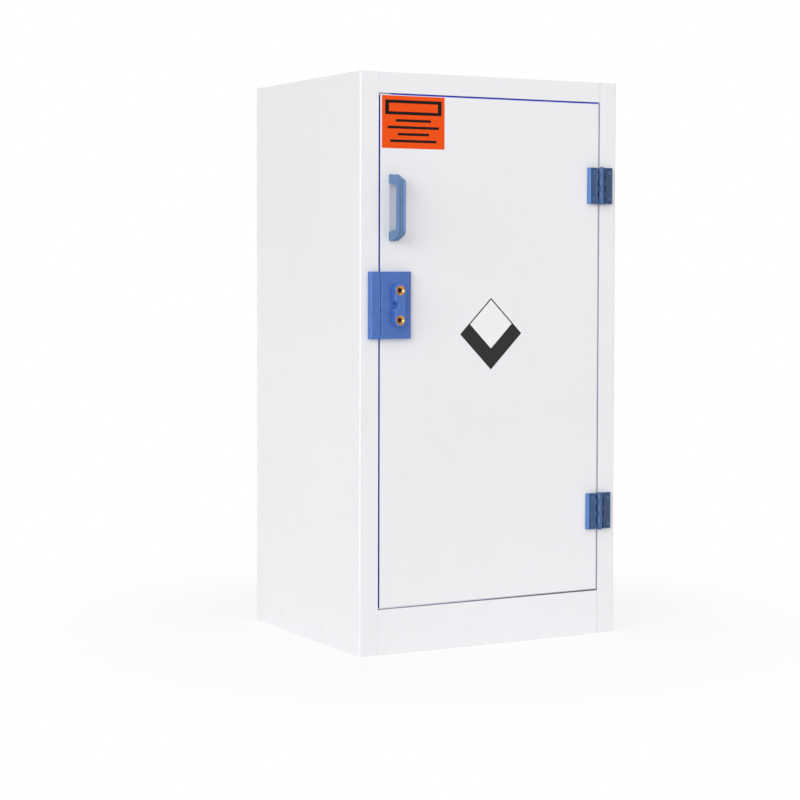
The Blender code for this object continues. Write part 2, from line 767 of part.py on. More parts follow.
def build_keeper():
    base, face = proud(SEAT), proud(LOCK_PROUD)
    outline = [
        (KEEPER_LEFT, base), (KEEPER_LEFT, face + KEEPER_CHAMFER), (KEEPER_LEFT + KEEPER_CHAMFER, face),
        (KEEPER_RIGHT - SEAM_CHAMFER, face), (KEEPER_RIGHT, face + SEAM_CHAMFER), (KEEPER_RIGHT, base),
    ]
    bm = bevelled(prism(outline, "Z", LOCK_BOTTOM, LOCK_TOP), LOCK_END_CHAMFER, 1, on_lock_end)
    keeper = piece("lock_keeper", bm, blue_moulding())
    pocket_end = BOLT_TIP - BOLT_THROW - POCKET_BACK
    cut(keeper, gathered([
        bolt_window(pocket_end, KEEPER_RIGHT + OVERRUN, centre, POCKET_PLAY) for centre in KEY_HEIGHTS.values()
    ]))
    cut(keeper, pilot_holes(keeper_screw_places()))
    numbered("keeper_screw", [inner_screw(x, z) for x, z in keeper_screw_places()], steel())


def build_housing(door_axis):
    base, face = proud(SEAT), proud(LOCK_PROUD)
    outline = [
        (HOUSING_LEFT, base), (HOUSING_LEFT, face + SEAM_CHAMFER), (HOUSING_LEFT + SEAM_CHAMFER, face),
        (HOUSING_RIGHT - FAR_CHAMFER_WIDTH, face), (HOUSING_RIGHT, face + FAR_CHAMFER_DEPTH),
        (HOUSING_RIGHT, base),
    ]
    bm = bevelled(prism(outline, "Z", LOCK_BOTTOM, LOCK_TOP), LOCK_END_CHAMFER, 1, on_lock_end)
    housing = piece("lock_housing", bm, blue_moulding(), door_axis)
    cut(housing, block(
        (HOUSING_LEFT + HOUSING_WALL, proud(CAVITY_PROUD), LOCK_BOTTOM + HOUSING_WALL),
        (HOUSING_RIGHT - HOUSING_WALL, proud(-OVERRUN), LOCK_TOP - HOUSING_WALL),
    ))
    cut(housing, gathered([
        facing_out(rod(BARREL_RADIUS + SEAT, BARREL_REAR - OVERRUN, LOCK_PROUD + OVERRUN), CYLINDER_X, centre)
        for centre in KEY_HEIGHTS.values()
    ]))
    cut(housing, gathered([
        bolt_window(HOUSING_LEFT - OVERRUN, HOUSING_LEFT + HOUSING_WALL + OVERRUN, centre, BOLT_PLAY)
        for centre in KEY_HEIGHTS.values()
    ]))
    fused(housing, gathered([
        facing_out(rod(POST_RADIUS, SEAT, CAVITY_PROUD + HOUSING_FRONT / 2), x, z) for x, z in lock_screw_places()
    ]))
    cut(housing, pilot_holes(lock_screw_places()))
    numbered("lock_screw", [inner_screw(x, z) for x, z in lock_screw_places()], steel(), door_axis)


def build_cylinder_block(door_axis):
    """A block with round ends and a thumb notch in its left side."""
    radius = BLOCK_WIDTH / 2
    reach = BLOCK_HEIGHT / 2 - radius
    notch = (CYLINDER_X - radius, LOCK_CENTRE)
    outline = arc((CYLINDER_X, LOCK_CENTRE + reach), radius, 0, math.pi)
    outline += arc(notch, THUMB_NOTCH_RADIUS, math.pi / 2, -math.pi / 2)
    outline += arc((CYLINDER_X, LOCK_CENTRE - reach), radius, math.pi, math.tau)
    face = proud(BLOCK_FRONT)
    bm = prism(outline, "Y", proud(BLOCK_REAR), face)
    bevelled(bm, BLOCK_CHAMFER, 1, lambda edge: all(abs(v.co.y - face) < SEAT for v in edge.verts))
    cylinder_block = piece("cylinder_block", bm, blue_moulding(), door_axis, smooth=True)
    cut(cylinder_block, gathered([
        facing_out(rod(BARREL_RADIUS + SEAT, BLOCK_REAR - OVERRUN, BLOCK_FRONT + OVERRUN), CYLINDER_X, centre)
        for centre in KEY_HEIGHTS.values()
    ]))


def barrel_shape():
    bore = PLUG_RADIUS + PLUG_PLAY
    rim = BARREL_RADIUS - BARREL_RIM
    return turned([
        (bore, BARREL_REAR), (BARREL_RADIUS, BARREL_REAR), (BARREL_RADIUS, BARREL_FRONT - BARREL_STANDOFF),
        (BARREL_RADIUS - BARREL_STANDOFF, BARREL_FRONT), (rim, BARREL_FRONT), (bore, BARREL_FRONT - DISH_DEPTH),
    ])


def crank_outline(centre):
    """Hub and tip circles joined by their common tangents, the tip up and to the right of the key's axis."""
    lean = math.asin((CRANK_HUB_RADIUS - CRANK_TIP_RADIUS) / CRANK_RADIUS)
    half_turn = math.pi / 2
    aim = half_turn - CRANK_SWING
    tip = (CYLINDER_X + CRANK_OFFSET, centre + CRANK_RADIUS * math.sin(aim))
    outline = arc(tip, CRANK_TIP_RADIUS, aim - half_turn + lean, aim + half_turn - lean, FILLET_STEPS)
    outline += arc(
        (CYLINDER_X, centre), CRANK_HUB_RADIUS, aim + half_turn - lean, aim + 3 * half_turn + lean, ARC_STEPS)
    return outline


def build_key_set(level, centre, door_axis):
    """Barrel in the block, and the plug and its crank that turn about the barrel's axis."""
    barrel = facing_out(barrel_shape(), CYLINDER_X, centre)
    piece(level + "_cylinder_barrel", barrel, brass(), door_axis, smooth=True)

    key_axis = axis_empty(level + "_key_axis", (CYLINDER_X, FRONT, centre), door_axis)
    plug_front = BARREL_FRONT - DISH_DEPTH - PLUG_SINK
    plug = facing_out(rod(PLUG_RADIUS, BARREL_REAR, plug_front), CYLINDER_X, centre)
    plug = piece(level + "_key_plug", plug, steel(), key_axis, smooth=True)
    cut(plug, block(
        (CYLINDER_X - KEYWAY_WIDTH / 2, proud(plug_front + OVERRUN), centre - KEYWAY_HEIGHT / 2),
        (CYLINDER_X + KEYWAY_WIDTH / 2, proud(plug_front - KEYWAY_DEPTH), centre + KEYWAY_HEIGHT / 2),
    ))

    plate = prism(crank_outline(centre), "Y", proud(CRANK_REAR), proud(CRANK_REAR + CRANK_PLATE))
    crank = piece(level + "_key_crank", plate, steel(), key_axis, smooth=True)
    pin = rod(CRANK_PIN_RADIUS, BOLT_SEAT + BOLT_PLAY, CRANK_REAR + CRANK_PLATE / 2, SMALL_SIDES)
    fused(crank, facing_out(pin, CYLINDER_X + CRANK_OFFSET, centre + CRANK_OFFSET))


def build_bolt(level, centre, door_axis):
    """A flat bolt: a nose that slides out, and a wider tail whose upright slot the crank's pin rides in."""
    bolt_axis = axis_empty(level + "_bolt_axis", (BOLT_TIP, FRONT, centre), door_axis)
    pin_x = CYLINDER_X + CRANK_OFFSET
    slot_half = CRANK_PIN_RADIUS + SLOT_PLAY
    nose_end = BOLT_TIP + BOLT_NOSE_LENGTH
    tail_end = pin_x + slot_half + BOLT_TAIL_MARGIN
    nose, tail = BOLT_NOSE_HEIGHT / 2, BOLT_TAIL_HEIGHT / 2
    outline = [
        (BOLT_TIP, centre - nose + BOLT_CHAMFER), (BOLT_TIP + BOLT_CHAMFER, centre - nose),
        (nose_end, centre - nose), (nose_end, centre - tail), (tail_end, centre - tail),
        (tail_end, centre + tail), (nose_end, centre + tail), (nose_end, centre + nose),
        (BOLT_TIP + BOLT_CHAMFER, centre + nose), (BOLT_TIP, centre + nose - BOLT_CHAMFER),
    ]
    bm = prism(outline, "Y", proud(BOLT_SEAT), proud(BOLT_FRONT))
    bolt = piece(level + "_bolt", bm, bolt_plastic(), bolt_axis)
    cut(bolt, block(
        (pin_x - slot_half, proud(BOLT_FRONT + OVERRUN), centre + CRANK_OFFSET - slot_half),
        (pin_x + slot_half, proud(BOLT_SEAT - OVERRUN), centre + CRANK_RADIUS + slot_half),
    ))


def build_lock(door_axis):
    build_keeper()
    build_housing(door_axis)
    build_cylinder_block(door_axis)
    for level, centre in KEY_HEIGHTS.items():
        build_key_set(level, centre, door_axis)
        build_bolt(level, centre, door_axis)


def build_cabinet():
    build_box()
    build_door_stops()
    build_ledges()
    build_shelf()
    door_axis = axis_empty("door_swing_axis", HINGE_AXIS)
    build_door(door_axis)
    build_handle(door_axis)
    build_hinges(door_axis)
    build_lock(door_axis)


for old in list(bpy.data.objects):
    bpy.data.objects.remove(old, do_unlink=True)
build_cabinet()
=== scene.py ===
# Acid and alkali cabinet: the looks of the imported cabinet.
# Finishes for every sheet, strip, moulding and metal part, finer shapes for the handle, hinges and lock,
# hot air welds, blank stickers and screw heads, and a plain studio stage.

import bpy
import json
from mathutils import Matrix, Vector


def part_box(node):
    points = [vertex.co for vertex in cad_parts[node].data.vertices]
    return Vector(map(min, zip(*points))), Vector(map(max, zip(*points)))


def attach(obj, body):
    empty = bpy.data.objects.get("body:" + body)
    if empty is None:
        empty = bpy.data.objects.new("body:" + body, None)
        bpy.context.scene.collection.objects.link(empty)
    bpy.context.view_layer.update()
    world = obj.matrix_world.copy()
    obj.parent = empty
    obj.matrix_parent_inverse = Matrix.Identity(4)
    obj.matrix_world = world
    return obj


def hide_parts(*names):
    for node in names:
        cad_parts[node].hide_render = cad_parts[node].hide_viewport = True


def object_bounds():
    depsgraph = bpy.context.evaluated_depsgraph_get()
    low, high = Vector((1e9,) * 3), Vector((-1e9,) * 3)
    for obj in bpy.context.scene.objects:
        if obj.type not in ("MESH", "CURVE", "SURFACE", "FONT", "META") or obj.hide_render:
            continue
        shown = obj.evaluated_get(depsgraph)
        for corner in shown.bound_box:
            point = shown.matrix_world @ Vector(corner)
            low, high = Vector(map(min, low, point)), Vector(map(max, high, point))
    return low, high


bl_info = {
    "name": "Acid and Alkali Cabinet",
    "version": (1, 0, 0),
    "blender": (4, 5, 0),
    "location": "3D View > Sidebar > Cabinet",
    "description": "Dresses the acid and alkali cabinet and sets its stage",
    "category": "Object",
}

import json
import math

import bmesh
import bpy
from mathutils import Matrix, Vector, noise

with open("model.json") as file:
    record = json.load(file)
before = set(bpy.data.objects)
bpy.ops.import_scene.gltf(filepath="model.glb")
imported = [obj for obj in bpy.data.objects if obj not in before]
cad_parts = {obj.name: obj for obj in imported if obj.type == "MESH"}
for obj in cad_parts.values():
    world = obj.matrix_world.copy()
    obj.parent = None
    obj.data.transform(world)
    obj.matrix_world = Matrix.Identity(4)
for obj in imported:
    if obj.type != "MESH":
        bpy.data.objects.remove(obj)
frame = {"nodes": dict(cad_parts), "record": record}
CAD_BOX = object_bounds()
UNITS = {"subtype": "DISTANCE", "unit": "LENGTH"}

# Places read from the frame
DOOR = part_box("door_panel")
DOOR_FACE = DOOR[0].y
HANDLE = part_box("pull_handle")
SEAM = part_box("top_rail")[1].x
LEVELS = ("upper", "lower")

# Room between the door's face and what is stuck on it, and corners of the stickers
STUCK_GAP = 0.00002
STICKER_CORNER = 0.0008

# Segments round the turned parts
BARREL_STEPS, PLUG_STEPS, SCREW_STEPS = 64, 48, 32

# Where the lamps' light comes from, and how wide it is in degrees
KEY_FROM, KEY_WIDTH = (-0.85, -0.5, 0.25), 50
FRONT_FROM, FRONT_WIDTH = (0.15, -1.0, 0.25), 70
TOP_FROM, TOP_AIM, TOP_SIZE = (-0.2, -0.9, 3.6), (-0.2, -0.9, 0), (3.0, 3.0)

# The floor's half width, its drop below the cabinet, and the reach over which it fades to white
FLOOR_HALF = 30
FLOOR_DROP = 0.0002
FADE = (0.3, 1.1)
NEAR_WHITE = 0.8
WHITE = (1, 1, 1, 1)


# Shapes

def box_shape(low, high):
    low, high = Vector(low), Vector(high)
    bm = bmesh.new()
    bmesh.ops.create_cube(bm, size=1)
    bmesh.ops.scale(bm, vec=high - low, verts=bm.verts)
    bmesh.ops.translate(bm, vec=(low + high) / 2, verts=bm.verts)
    return bm


def pushed_outline(outline, axis, low, high):
    """An outline in the two other directions, in order, pushed along X, Y or Z."""
    slot = "XYZ".index(axis)
    bm = bmesh.new()
    corners = []
    for first, second in outline:
        place = [first, second]
        place.insert(slot, low)
        corners.append(bm.verts.new(place))
    face = bm.faces.new(corners)
    pushed = bmesh.ops.extrude_face_region(bm, geom=[face])
    push = Vector((0, 0, 0))
    push[slot] = high - low
    bmesh.ops.translate(bm, vec=push, verts=[g for g in pushed["geom"] if isinstance(g, bmesh.types.BMVert)])
    bmesh.ops.recalc_face_normals(bm, faces=bm.faces)
    return bm


def spun(profile, steps):
    """A profile of radius and distance, spun all the way about Z."""
    bm = bmesh.new()
    ring = [bm.verts.new((radius, 0, height)) for radius, height in profile]
    for start, end in zip(ring, ring[1:]):
        bm.edges.new((start, end))
    bmesh.ops.spin(
        bm, geom=bm.verts[:] + bm.edges[:], cent=(0, 0, 0), axis=(0, 0, 1), angle=math.tau, steps=steps,
        use_merge=True,
    )
    bmesh.ops.remove_doubles(bm, verts=bm.verts, dist=1e-6)
    bmesh.ops.recalc_face_normals(bm, faces=bm.faces)
    return bm


def facing_out(bm, x, z):
    """Turns a shape made about Z to point out of the door, its heights counted from the door's face."""
    bmesh.ops.rotate(bm, cent=(0, 0, 0), matrix=Matrix.Rotation(math.pi / 2, 3, "X"), verts=bm.verts)
    bmesh.ops.translate(bm, vec=(x, DOOR_FACE, z), verts=bm.verts)
    return bm


def arc_points(centre, radius, start, end, steps):
    """Points along an arc, its ends among them."""
    turns = [start + (end - start) * step / steps for step in range(steps + 1)]
    return [(centre[0] + radius * math.cos(turn), centre[1] + radius * math.sin(turn)) for turn in turns]


def rounded_outline(corners, steps):
    """An outline whose corners, given as two places and a radius, are rounded by arcs."""
    outline = []
    for index, (first, second, radius) in enumerate(corners):
        here = Vector((first, second))
        if radius == 0:
            outline.append(here[:])
            continue
        before = Vector(corners[index - 1][:2]) - here
        after = Vector(corners[(index + 1) % len(corners)][:2]) - here
        half = before.angle(after) / 2
        centre = here + (before.normalized() + after.normalized()).normalized() * (radius / math.sin(half))
        reach = radius / math.tan(half)
        start = here + before.normalized() * reach - centre
        turn = start.angle_signed(here + after.normalized() * reach - centre)
        for step in range(steps + 1):
            spoke = start.copy()
            spoke.rotate(Matrix.Rotation(-turn * step / steps, 2))
            outline.append((centre + spoke)[:])
    return outline


def carved(bm, cutter):
    """The first shape with the second taken out of it."""
    pair = []
    for name, shape in (("carved", bm), ("cutter", cutter)):
        mesh = bpy.data.meshes.new(name)
        shape.to_mesh(mesh)
        shape.free()
        pair.append(bpy.data.objects.new(name, mesh))
        bpy.context.scene.collection.objects.link(pair[-1])
    step = pair[0].modifiers.new("cut", "BOOLEAN")
    step.operation = "DIFFERENCE"
    step.solver = "EXACT"
    step.object = pair[1]
    result = bmesh.new()
    result.from_object(pair[0], bpy.context.evaluated_depsgraph_get())
    for done in pair:
        mesh = done.data
        bpy.data.objects.remove(done)
        bpy.data.meshes.remove(mesh)
    if not result.faces:
        raise RuntimeError("a cut left nothing of the shape")
    return result


def merged_copy(node):
    """A CAD node's shape as joined faces, flat ones made whole."""
    bm = bmesh.new()
    bm.from_mesh(frame["nodes"][node].data)
    bmesh.ops.remove_doubles(bm, verts=bm.verts, dist=1e-6)
    bmesh.ops.dissolve_limit(bm, angle_limit=math.radians(0.5), verts=bm.verts, edges=bm.edges)
    return bm


def finished_piece(name, bm, material, body, stands_for=(), sharp=35):
    """Makes a shape a visible piece that rides on a body."""
    mesh = bpy.data.meshes.new(name)
    bm.to_mesh(mesh)
    bm.free()
    made = bpy.data.objects.new(name, mesh)
    bpy.context.scene.collection.objects.link(made)
    mesh.materials.append(material)
    mesh.shade_smooth()
    mesh.set_sharp_from_angle(angle=math.radians(sharp))
    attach(made, body)
    if stands_for:
        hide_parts(*stands_for)
    return made


def soft_edges(made, width, segments, limit=25):
    """Rounds a finished piece's sharp edges a little."""
    step = made.modifiers.new("soft_edges", "BEVEL")
    step.width = width
    step.segments = segments
    step.limit_method = "ANGLE"
    step.angle_limit = math.radians(limit)
    step.harden_normals = False
    made.modifiers.new("even_shading", "WEIGHTED_NORMAL").keep_sharp = True
    return made


# Finishes

class Wire:
    """A value on its way through a finish. Sums on it add Math nodes."""

    def __init__(self, nodes, socket):
        self.nodes = nodes
        self.socket = socket

    def __add__(self, other):
        return self.nodes.math("ADD", self, other)

    def __radd__(self, other):
        return self.nodes.math("ADD", other, self)

    def __sub__(self, other):
        return self.nodes.math("SUBTRACT", self, other)

    def __rsub__(self, other):
        return self.nodes.math("SUBTRACT", other, self)

    def __mul__(self, other):
        return self.nodes.math("MULTIPLY", self, other)

    def __rmul__(self, other):
        return self.nodes.math("MULTIPLY", other, self)

    def __lt__(self, other):
        return self.nodes.math("LESS_THAN", self, other)

    def __gt__(self, other):
        return self.nodes.math("GREATER_THAN", self, other)

    def __abs__(self):
        return self.nodes.math("ABSOLUTE", self)

    def highest(self, other):
        return self.nodes.math("MAXIMUM", self, other)


class Nodes:
    """A node tree and the one way to add to it."""

    def __init__(self, tree):
        self.tree = tree

    def add(self, kind, inputs=None, output=0, **settings):
        """A node: its settings first, then the values or links of its inputs. Gives one of its outputs."""
        node = self.tree.nodes.new(kind)
        for key, value in settings.items():
            setattr(node, key, value)
        for key, value in (inputs or {}).items():
            self.feed(node.inputs[key], value)
        return Wire(self, node.outputs[output]) if node.outputs else None

    def feed(self, socket, value):
        if isinstance(value, Wire):
            self.tree.links.new(value.socket, socket)
        else:
            socket.default_value = value

    def math(self, operation, first, second=None):
        inputs = {0: first} if second is None else {0: first, 1: second}
        return self.add("ShaderNodeMath", inputs, operation=operation)

    def seen_by(self, *rays):
        """1 for either of two kinds of ray, 0 for all others."""
        first, second = (self.add("ShaderNodeLightPath", output=ray) for ray in rays)
        return first.highest(second)


class Finish(Nodes):
    """The node tree of one finish, with its shader ready."""

    def __init__(self, name, roughness, metallic=0.0, **sockets):
        self.material = bpy.data.materials.new(name)
        self.material.use_nodes = True
        super().__init__(self.material.node_tree)
        self.shader = self.tree.nodes["Principled BSDF"]
        self.shader.inputs["Roughness"].default_value = roughness
        self.shader.inputs["Metallic"].default_value = metallic
        for socket, value in sockets.items():
            self.shader.inputs[socket.replace("_", " ")].default_value = value

    def mix(self, factor, first, second):
        """Two colours mixed by a factor."""
        return self.add("ShaderNodeMix", {0: factor, 6: first, 7: second}, output=2, data_type="RGBA")

    def place(self, stretch=(1, 1, 1)):
        spot = self.add("ShaderNodeTexCoord", output="Object")
        if tuple(stretch) == (1, 1, 1):
            return spot
        return self.add("ShaderNodeVectorMath", {0: spot, 1: stretch}, operation="MULTIPLY")

    def split(self):
        """The x, y and z of a point of the surface."""
        node = self.add("ShaderNodeSeparateXYZ", {0: self.place()}).socket.node
        return [Wire(self, output) for output in node.outputs]

    def cloud(self, scale, detail=2.0, stretch=(1, 1, 1), roughness=0.5):
        """Noise about zero, from about -0.5 to 0.5."""
        found = self.add(
            "ShaderNodeTexNoise",
            {"Vector": self.place(stretch), "Scale": scale, "Detail": detail, "Roughness": roughness},
        )
        return found - 0.5

    def specks(self, scale, size):
        """Small scattered dots, 1 inside and 0 outside."""
        found = self.add(
            "ShaderNodeTexVoronoi", {"Vector": self.place(), "Scale": scale, "Randomness": 1.0}, output="Distance",
        )
        return found < size

    def edges(self, reach):
        """1 at the edges of the shape, 0 away from them."""
        softer = self.add("ShaderNodeBevel", {"Radius": reach}, samples=6)
        plain = self.add("ShaderNodeNewGeometry", output="Normal")
        same = self.add("ShaderNodeVectorMath", {0: softer, 1: plain}, output="Value", operation="DOT_PRODUCT")
        return self.ramp(1.0 - same, 0.01, 0.2)

    def hollows(self, reach):
        """1 deep in a hollow, 0 in the open."""
        light = self.add("ShaderNodeAmbientOcclusion", {"Distance": reach}, output="AO", samples=8)
        return 1.0 - self.ramp(light, 0.25, 0.7)

    def colour(self, value):
        self.feed(self.shader.inputs["Base Color"], value)

    def rough(self, value):
        self.feed(self.shader.inputs["Roughness"], value)

    def bump(self, height, distance):
        """Height in shares of the distance."""
        normal = self.add("ShaderNodeBump", {"Height": height, "Distance": distance}, output="Normal")
        self.feed(self.shader.inputs["Normal"], normal)

    def ramp(self, value, low, high):
        """Value brought from its own range to 0 to 1."""
        return self.add("ShaderNodeMapRange", {"Value": value, "From Min": low, "From Max": high}, clamp=True)


def tinted(colour, share):
    """A colour made lighter or darker by a share."""
    return tuple(min(1.0, part * (1 + share)) for part in colour[:3]) + (1.0,)


def sheet_finish(name, colour, roughness):
    """Extruded and pressed polypropylene sheet: faint cloudiness, a fine peel, scuffs low down."""
    f = Finish(name, roughness, IOR=1.49, Specular_IOR_Level=0.35)
    mottle = f.cloud(3.1, 3.0) + f.cloud(23.0, 2.0) * 0.35
    tone = f.mix(f.ramp(mottle, -0.3, 0.3), tinted(colour, -0.012), tinted(colour, 0.012))
    low_down = 1.0 - f.ramp(f.split()[2], 0.0, 0.22)
    scuff = f.ramp(f.cloud(60.0, 5.0, (1.0, 1.0, 0.25), 0.7), 0.13, 0.22) * low_down
    tone = f.mix(scuff * 0.35, tone, (0.62, 0.62, 0.64, 1))
    tone = f.mix(f.specks(55.0, 0.016) * 0.5, tone, (0.5, 0.5, 0.52, 1))
    # Seam lines, with painted shade in the notch at the seams' tops and stains at their feet.
    tone = f.mix(seam_marks(f) * 0.8, tone, (0.45, 0.44, 0.46, 1))
    f.colour(tone)
    f.rough(roughness + f.cloud(9.0, 3.0) * 0.12 + scuff * 0.2)
    peel = f.cloud(420.0, 2.0) * 0.7 + f.cloud(90.0, 1.0, (1.0, 1.0, 0.12)) * 0.5
    f.bump(peel, 0.00003)
    return f.material


def seam_marks(f):
    """Faint patchy dark lines along the seams between rails and stiles, with painted shade in the notch at their
    top ends and a stain at their feet.
    """
    x, y, z = f.split()
    beyond = (z > DOOR[1].z) + (z < DOOR[0].z)
    seam = 1.0 - f.ramp(abs(abs(x) - SEAM), 0.0, 0.0009)
    patchy = f.ramp(f.cloud(45.0, 3.0), -0.35, 0.3)
    # Painted shade in the notch at the top end of each seam, and half as dark a stain at its foot.
    notch_shade_and_foot_stain = f.ramp(z, CAD_BOX[1].z - 0.006, CAD_BOX[1].z - 0.003) + (1.0 - f.ramp(z, 0.012, 0.03)) * 0.5
    return seam * beyond * (y < DOOR_FACE + 0.0005) * (patchy * 0.35 + notch_shade_and_foot_stain)


def strip_finish(name, colour, face):
    """Blue edge strip: navy at the sides and near black over the foot's right half, both painted shade; its own
    brighter blue along the top; pale at the top's start; and over the foot a painted pool of light, pale at the
    left and fading to the right. Next to the door sheet it is as white as the sheet, and behind the hinges it is
    dark with a painted shadow."""
    f = Finish(name, 0.5, IOR=1.49, Specular_IOR_Level=0.15)
    pale, shadow = (0.86, 0.95, 0.98, 1), (0.004, 0.006, 0.012, 1)
    x, y, z = f.split()
    left, right = DOOR[0].x, DOOR[1].x
    foot, top = DOOR[0].z, DOOR[1].z
    over, under = z > top - 0.0005, z < foot + 0.0005
    # Pale over the top's first 22 mm; over the foot, painted light, pale at the left and fading to the right.
    pale_top_start = (1.0 - f.ramp(x, left + 0.022, left + 0.024)) * over
    painted_lit_foot = (1.0 - f.ramp(x, left, right)) * under
    mottle = f.ramp(f.cloud(40.0, 3.0), -0.3, 0.3)
    # Painted shade: the sides darker than the strip's own blue, and the right half of the foot near black.
    painted_shade_tone = f.mix(mottle, tinted(colour, -0.55), tinted(colour, -0.35))
    painted_shade_tone = f.mix(under * (x > 0.0), painted_shade_tone, tinted(colour, -0.9))
    tone = f.mix(over, painted_shade_tone, f.mix(mottle, colour, tinted(colour, 0.2)))
    tone = f.mix(pale_top_start.highest(painted_lit_foot) * 0.85, tone, pale)
    outer = (x < left - 0.0008).highest((z > top + 0.0006).highest(z < foot - 0.0008)).highest(x > right + 0.0012)
    tone = f.mix((y < DOOR_FACE + 0.0003) * (1.0 - outer), tone, face)
    # Painted shadow: the strip near black behind the hinges, where their cut-outs are in shade.
    for level in LEVELS:
        low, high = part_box(level + "_hinge_door_leaf")
        behind = (z > low.z + 0.001) * (z < high.z - 0.001)
        tone = f.mix(behind * (x > right - 0.01), tone, shadow)
    f.colour(tone)
    f.rough(0.5 + f.cloud(70.0, 2.0) * 0.15)
    f.bump(f.cloud(900.0, 2.0), 0.00002)
    return f.material


def moulding_finish(name, colour, roughness, hollow_shade=0.2, grain=0.00003, floor_of=None):
    """Moulded polypropylene: fine spark grain, flow marks, pale rubs, painted highlights in patches along the edges
    and painted shade in the hollows.
    A piece with sunk floors also gets painted shade on its sunk fields and a painted highlight on its left flank."""
    f = Finish(
        name, roughness, IOR=1.55, Specular_Tint=(0.6, 0.8, 1.0, 1), Sheen_Weight=0.6, Sheen_Roughness=0.4,
        Sheen_Tint=(0.04, 0.38, 1.0, 1))
    flow = f.cloud(45.0, 2.0, (1.0, 1.0, 0.5)) * 0.25
    speckle = f.cloud(430.0, 3.0, roughness=0.75)
    tone = f.mix(f.ramp(flow + speckle, -0.3, 0.3), tinted(colour, -0.24), tinted(colour, 0.27))
    rub = f.ramp(f.cloud(330.0, 4.0, (1.0, 1.0, 0.6), 0.7), 0.2, 0.3)
    # Painted highlight: the edges lightened in patches where light would catch them, mixed with the random pale
    # rubs.
    painted_edge_highlight = f.edges(0.0014) * f.ramp(f.cloud(90.0, 3.0), -0.4, 0.1)
    tone = f.mix((rub * 0.16).highest(painted_edge_highlight * 0.8), tone, tinted(colour, 1.3))
    if floor_of:
        x, y, _ = f.split()
        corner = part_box(floor_of)[0]
        # Painted shade on the sunk fields, and a painted highlight on the left flank, where light falls from the
        # left.
        lit_flank = x < corner.x + 0.0035
        sunk_shade = (y > corner.y + 0.0011) * (1.0 - lit_flank)
        tone = f.mix(sunk_shade * 0.5, tone, (0.035, 0.04, 0.085, 1))
        tone = f.mix(lit_flank * 0.55, tone, tinted(colour, 1.2))
    # Painted shade: the colour darkened towards black in hollows, found by ambient occlusion.
    f.colour(f.mix(f.hollows(0.008) * hollow_shade, tone, tinted(colour, -0.98)))
    f.rough(roughness + f.cloud(130.0, 3.0) * 0.16 + rub * 0.1)
    f.bump(f.cloud(1900.0, 1.0) + f.cloud(600.0, 2.0) * 0.5, grain)
    return f.material


def metal_finish(name, colour, roughness, stretch, tarnish):
    """Turned or drawn metal: hair lines, a little tarnish."""
    f = Finish(name, roughness, 1.0)
    lines = f.cloud(900.0, 3.0, stretch)
    dull = f.ramp(f.cloud(260.0, 4.0), -0.05, 0.25)
    f.colour(f.mix(dull * 0.45, colour, tarnish))
    f.rough(roughness + dull * 0.16 + lines * 0.1)
    f.bump(lines, 0.00002)
    return f.material


def finish(name):
    """A finish by its name without the cabinet's."""
    return bpy.data.materials["cabinet_" + name]


def sticker_masks(f, middle, tilt):
    """Places across and up a sticker from its middle, turned by tilt."""
    x, _, z = f.split()
    across, up = x - middle[0], z - middle[1]
    if tilt == 0:
        return across, up
    cosine, sine = math.cos(tilt), math.sin(tilt)
    return across * cosine + up * sine, up * cosine - across * sine


def within(across, up, middle, half):
    """1 inside an upright box of two half sizes, 0 outside."""
    return (abs(across - middle[0]) < half[0]) * (abs(up - middle[1]) < half[1])


def form_sticker_finish(name, middle, size, paper, ink):
    """Printed vinyl with a dark header band and blank ruled lines."""
    f = Finish(name, 0.45, IOR=1.47, Specular_IOR_Level=0.2)
    across, up = sticker_masks(f, middle, 0)
    wide, tall = size[0] / 2, size[1] / 2
    header = within(across, up, (0, tall * 0.56), (wide * 0.9, tall * 0.28))
    window = within(across, up, (0, tall * 0.56), (wide * 0.78, tall * 0.16))
    bars = header * (1 - window)
    for row, reach in ((0.06, 0.56), (-0.2, 0.82), (-0.46, 0.5), (-0.72, 0.74)):
        bars = bars.highest(within(across, up, (0, tall * row), (wide * reach, tall * 0.05)))
    grain = f.cloud(700.0, 2.0)
    tone = f.mix(f.ramp(grain, -0.4, 0.4), tinted(paper, -0.05), tinted(paper, 0.05))
    f.colour(f.mix(bars, tone, ink))
    f.rough(0.45 + bars * 0.08 + grain * 0.08)
    f.bump(f.cloud(160.0, 2.0), 0.00003)
    return f.material


def diamond_sticker_finish(name, middle, side, paper, ink):
    """Printed vinyl, dark all round, with a pale square pushed up into its top corner."""
    f = Finish(name, 0.33, IOR=1.47)
    across, up = sticker_masks(f, middle, math.pi / 4)
    half = side / 2
    border = half * 0.05
    field = half * 0.68
    shift = half - border - field
    pale = within(across, up, (shift, shift), (field, field))
    grain = f.cloud(700.0, 2.0)
    tone = f.mix(f.ramp(grain, -0.4, 0.4), tinted(paper, -0.02), tinted(paper, 0.02))
    f.colour(f.mix(pale, ink, tone))
    f.rough(0.33 + grain * 0.08)
    f.bump(f.cloud(160.0, 2.0), 0.00003)
    return f.material


# Handle

def bow_outline(shape):
    """The handle's side view: its bar, its sloping shoulders and the finger window."""
    low, high = HANDLE
    half = (high.z - low.z) / 2
    reach = DOOR_FACE - low.y
    foot = DOOR_FACE - high.y
    inner = reach - shape.bar
    window = half - shape.arm
    upper = [(foot, half, 0), (shape.shoulder, half, shape.shoulder_round), (reach, half - shape.slope, shape.nose)]
    inside = [(inner, window - shape.window_drop, shape.window_round), (foot, window, 0)]
    lower = [(out, -height, radius) for out, height, radius in reversed(upper)]
    inside_lower = [(out, -height, radius) for out, height, radius in reversed(inside)]
    outline = rounded_outline(upper + lower + inside_lower + inside, 8)
    middle = (high.z + low.z) / 2
    return [(DOOR_FACE - out, middle + height) for out, height in outline]


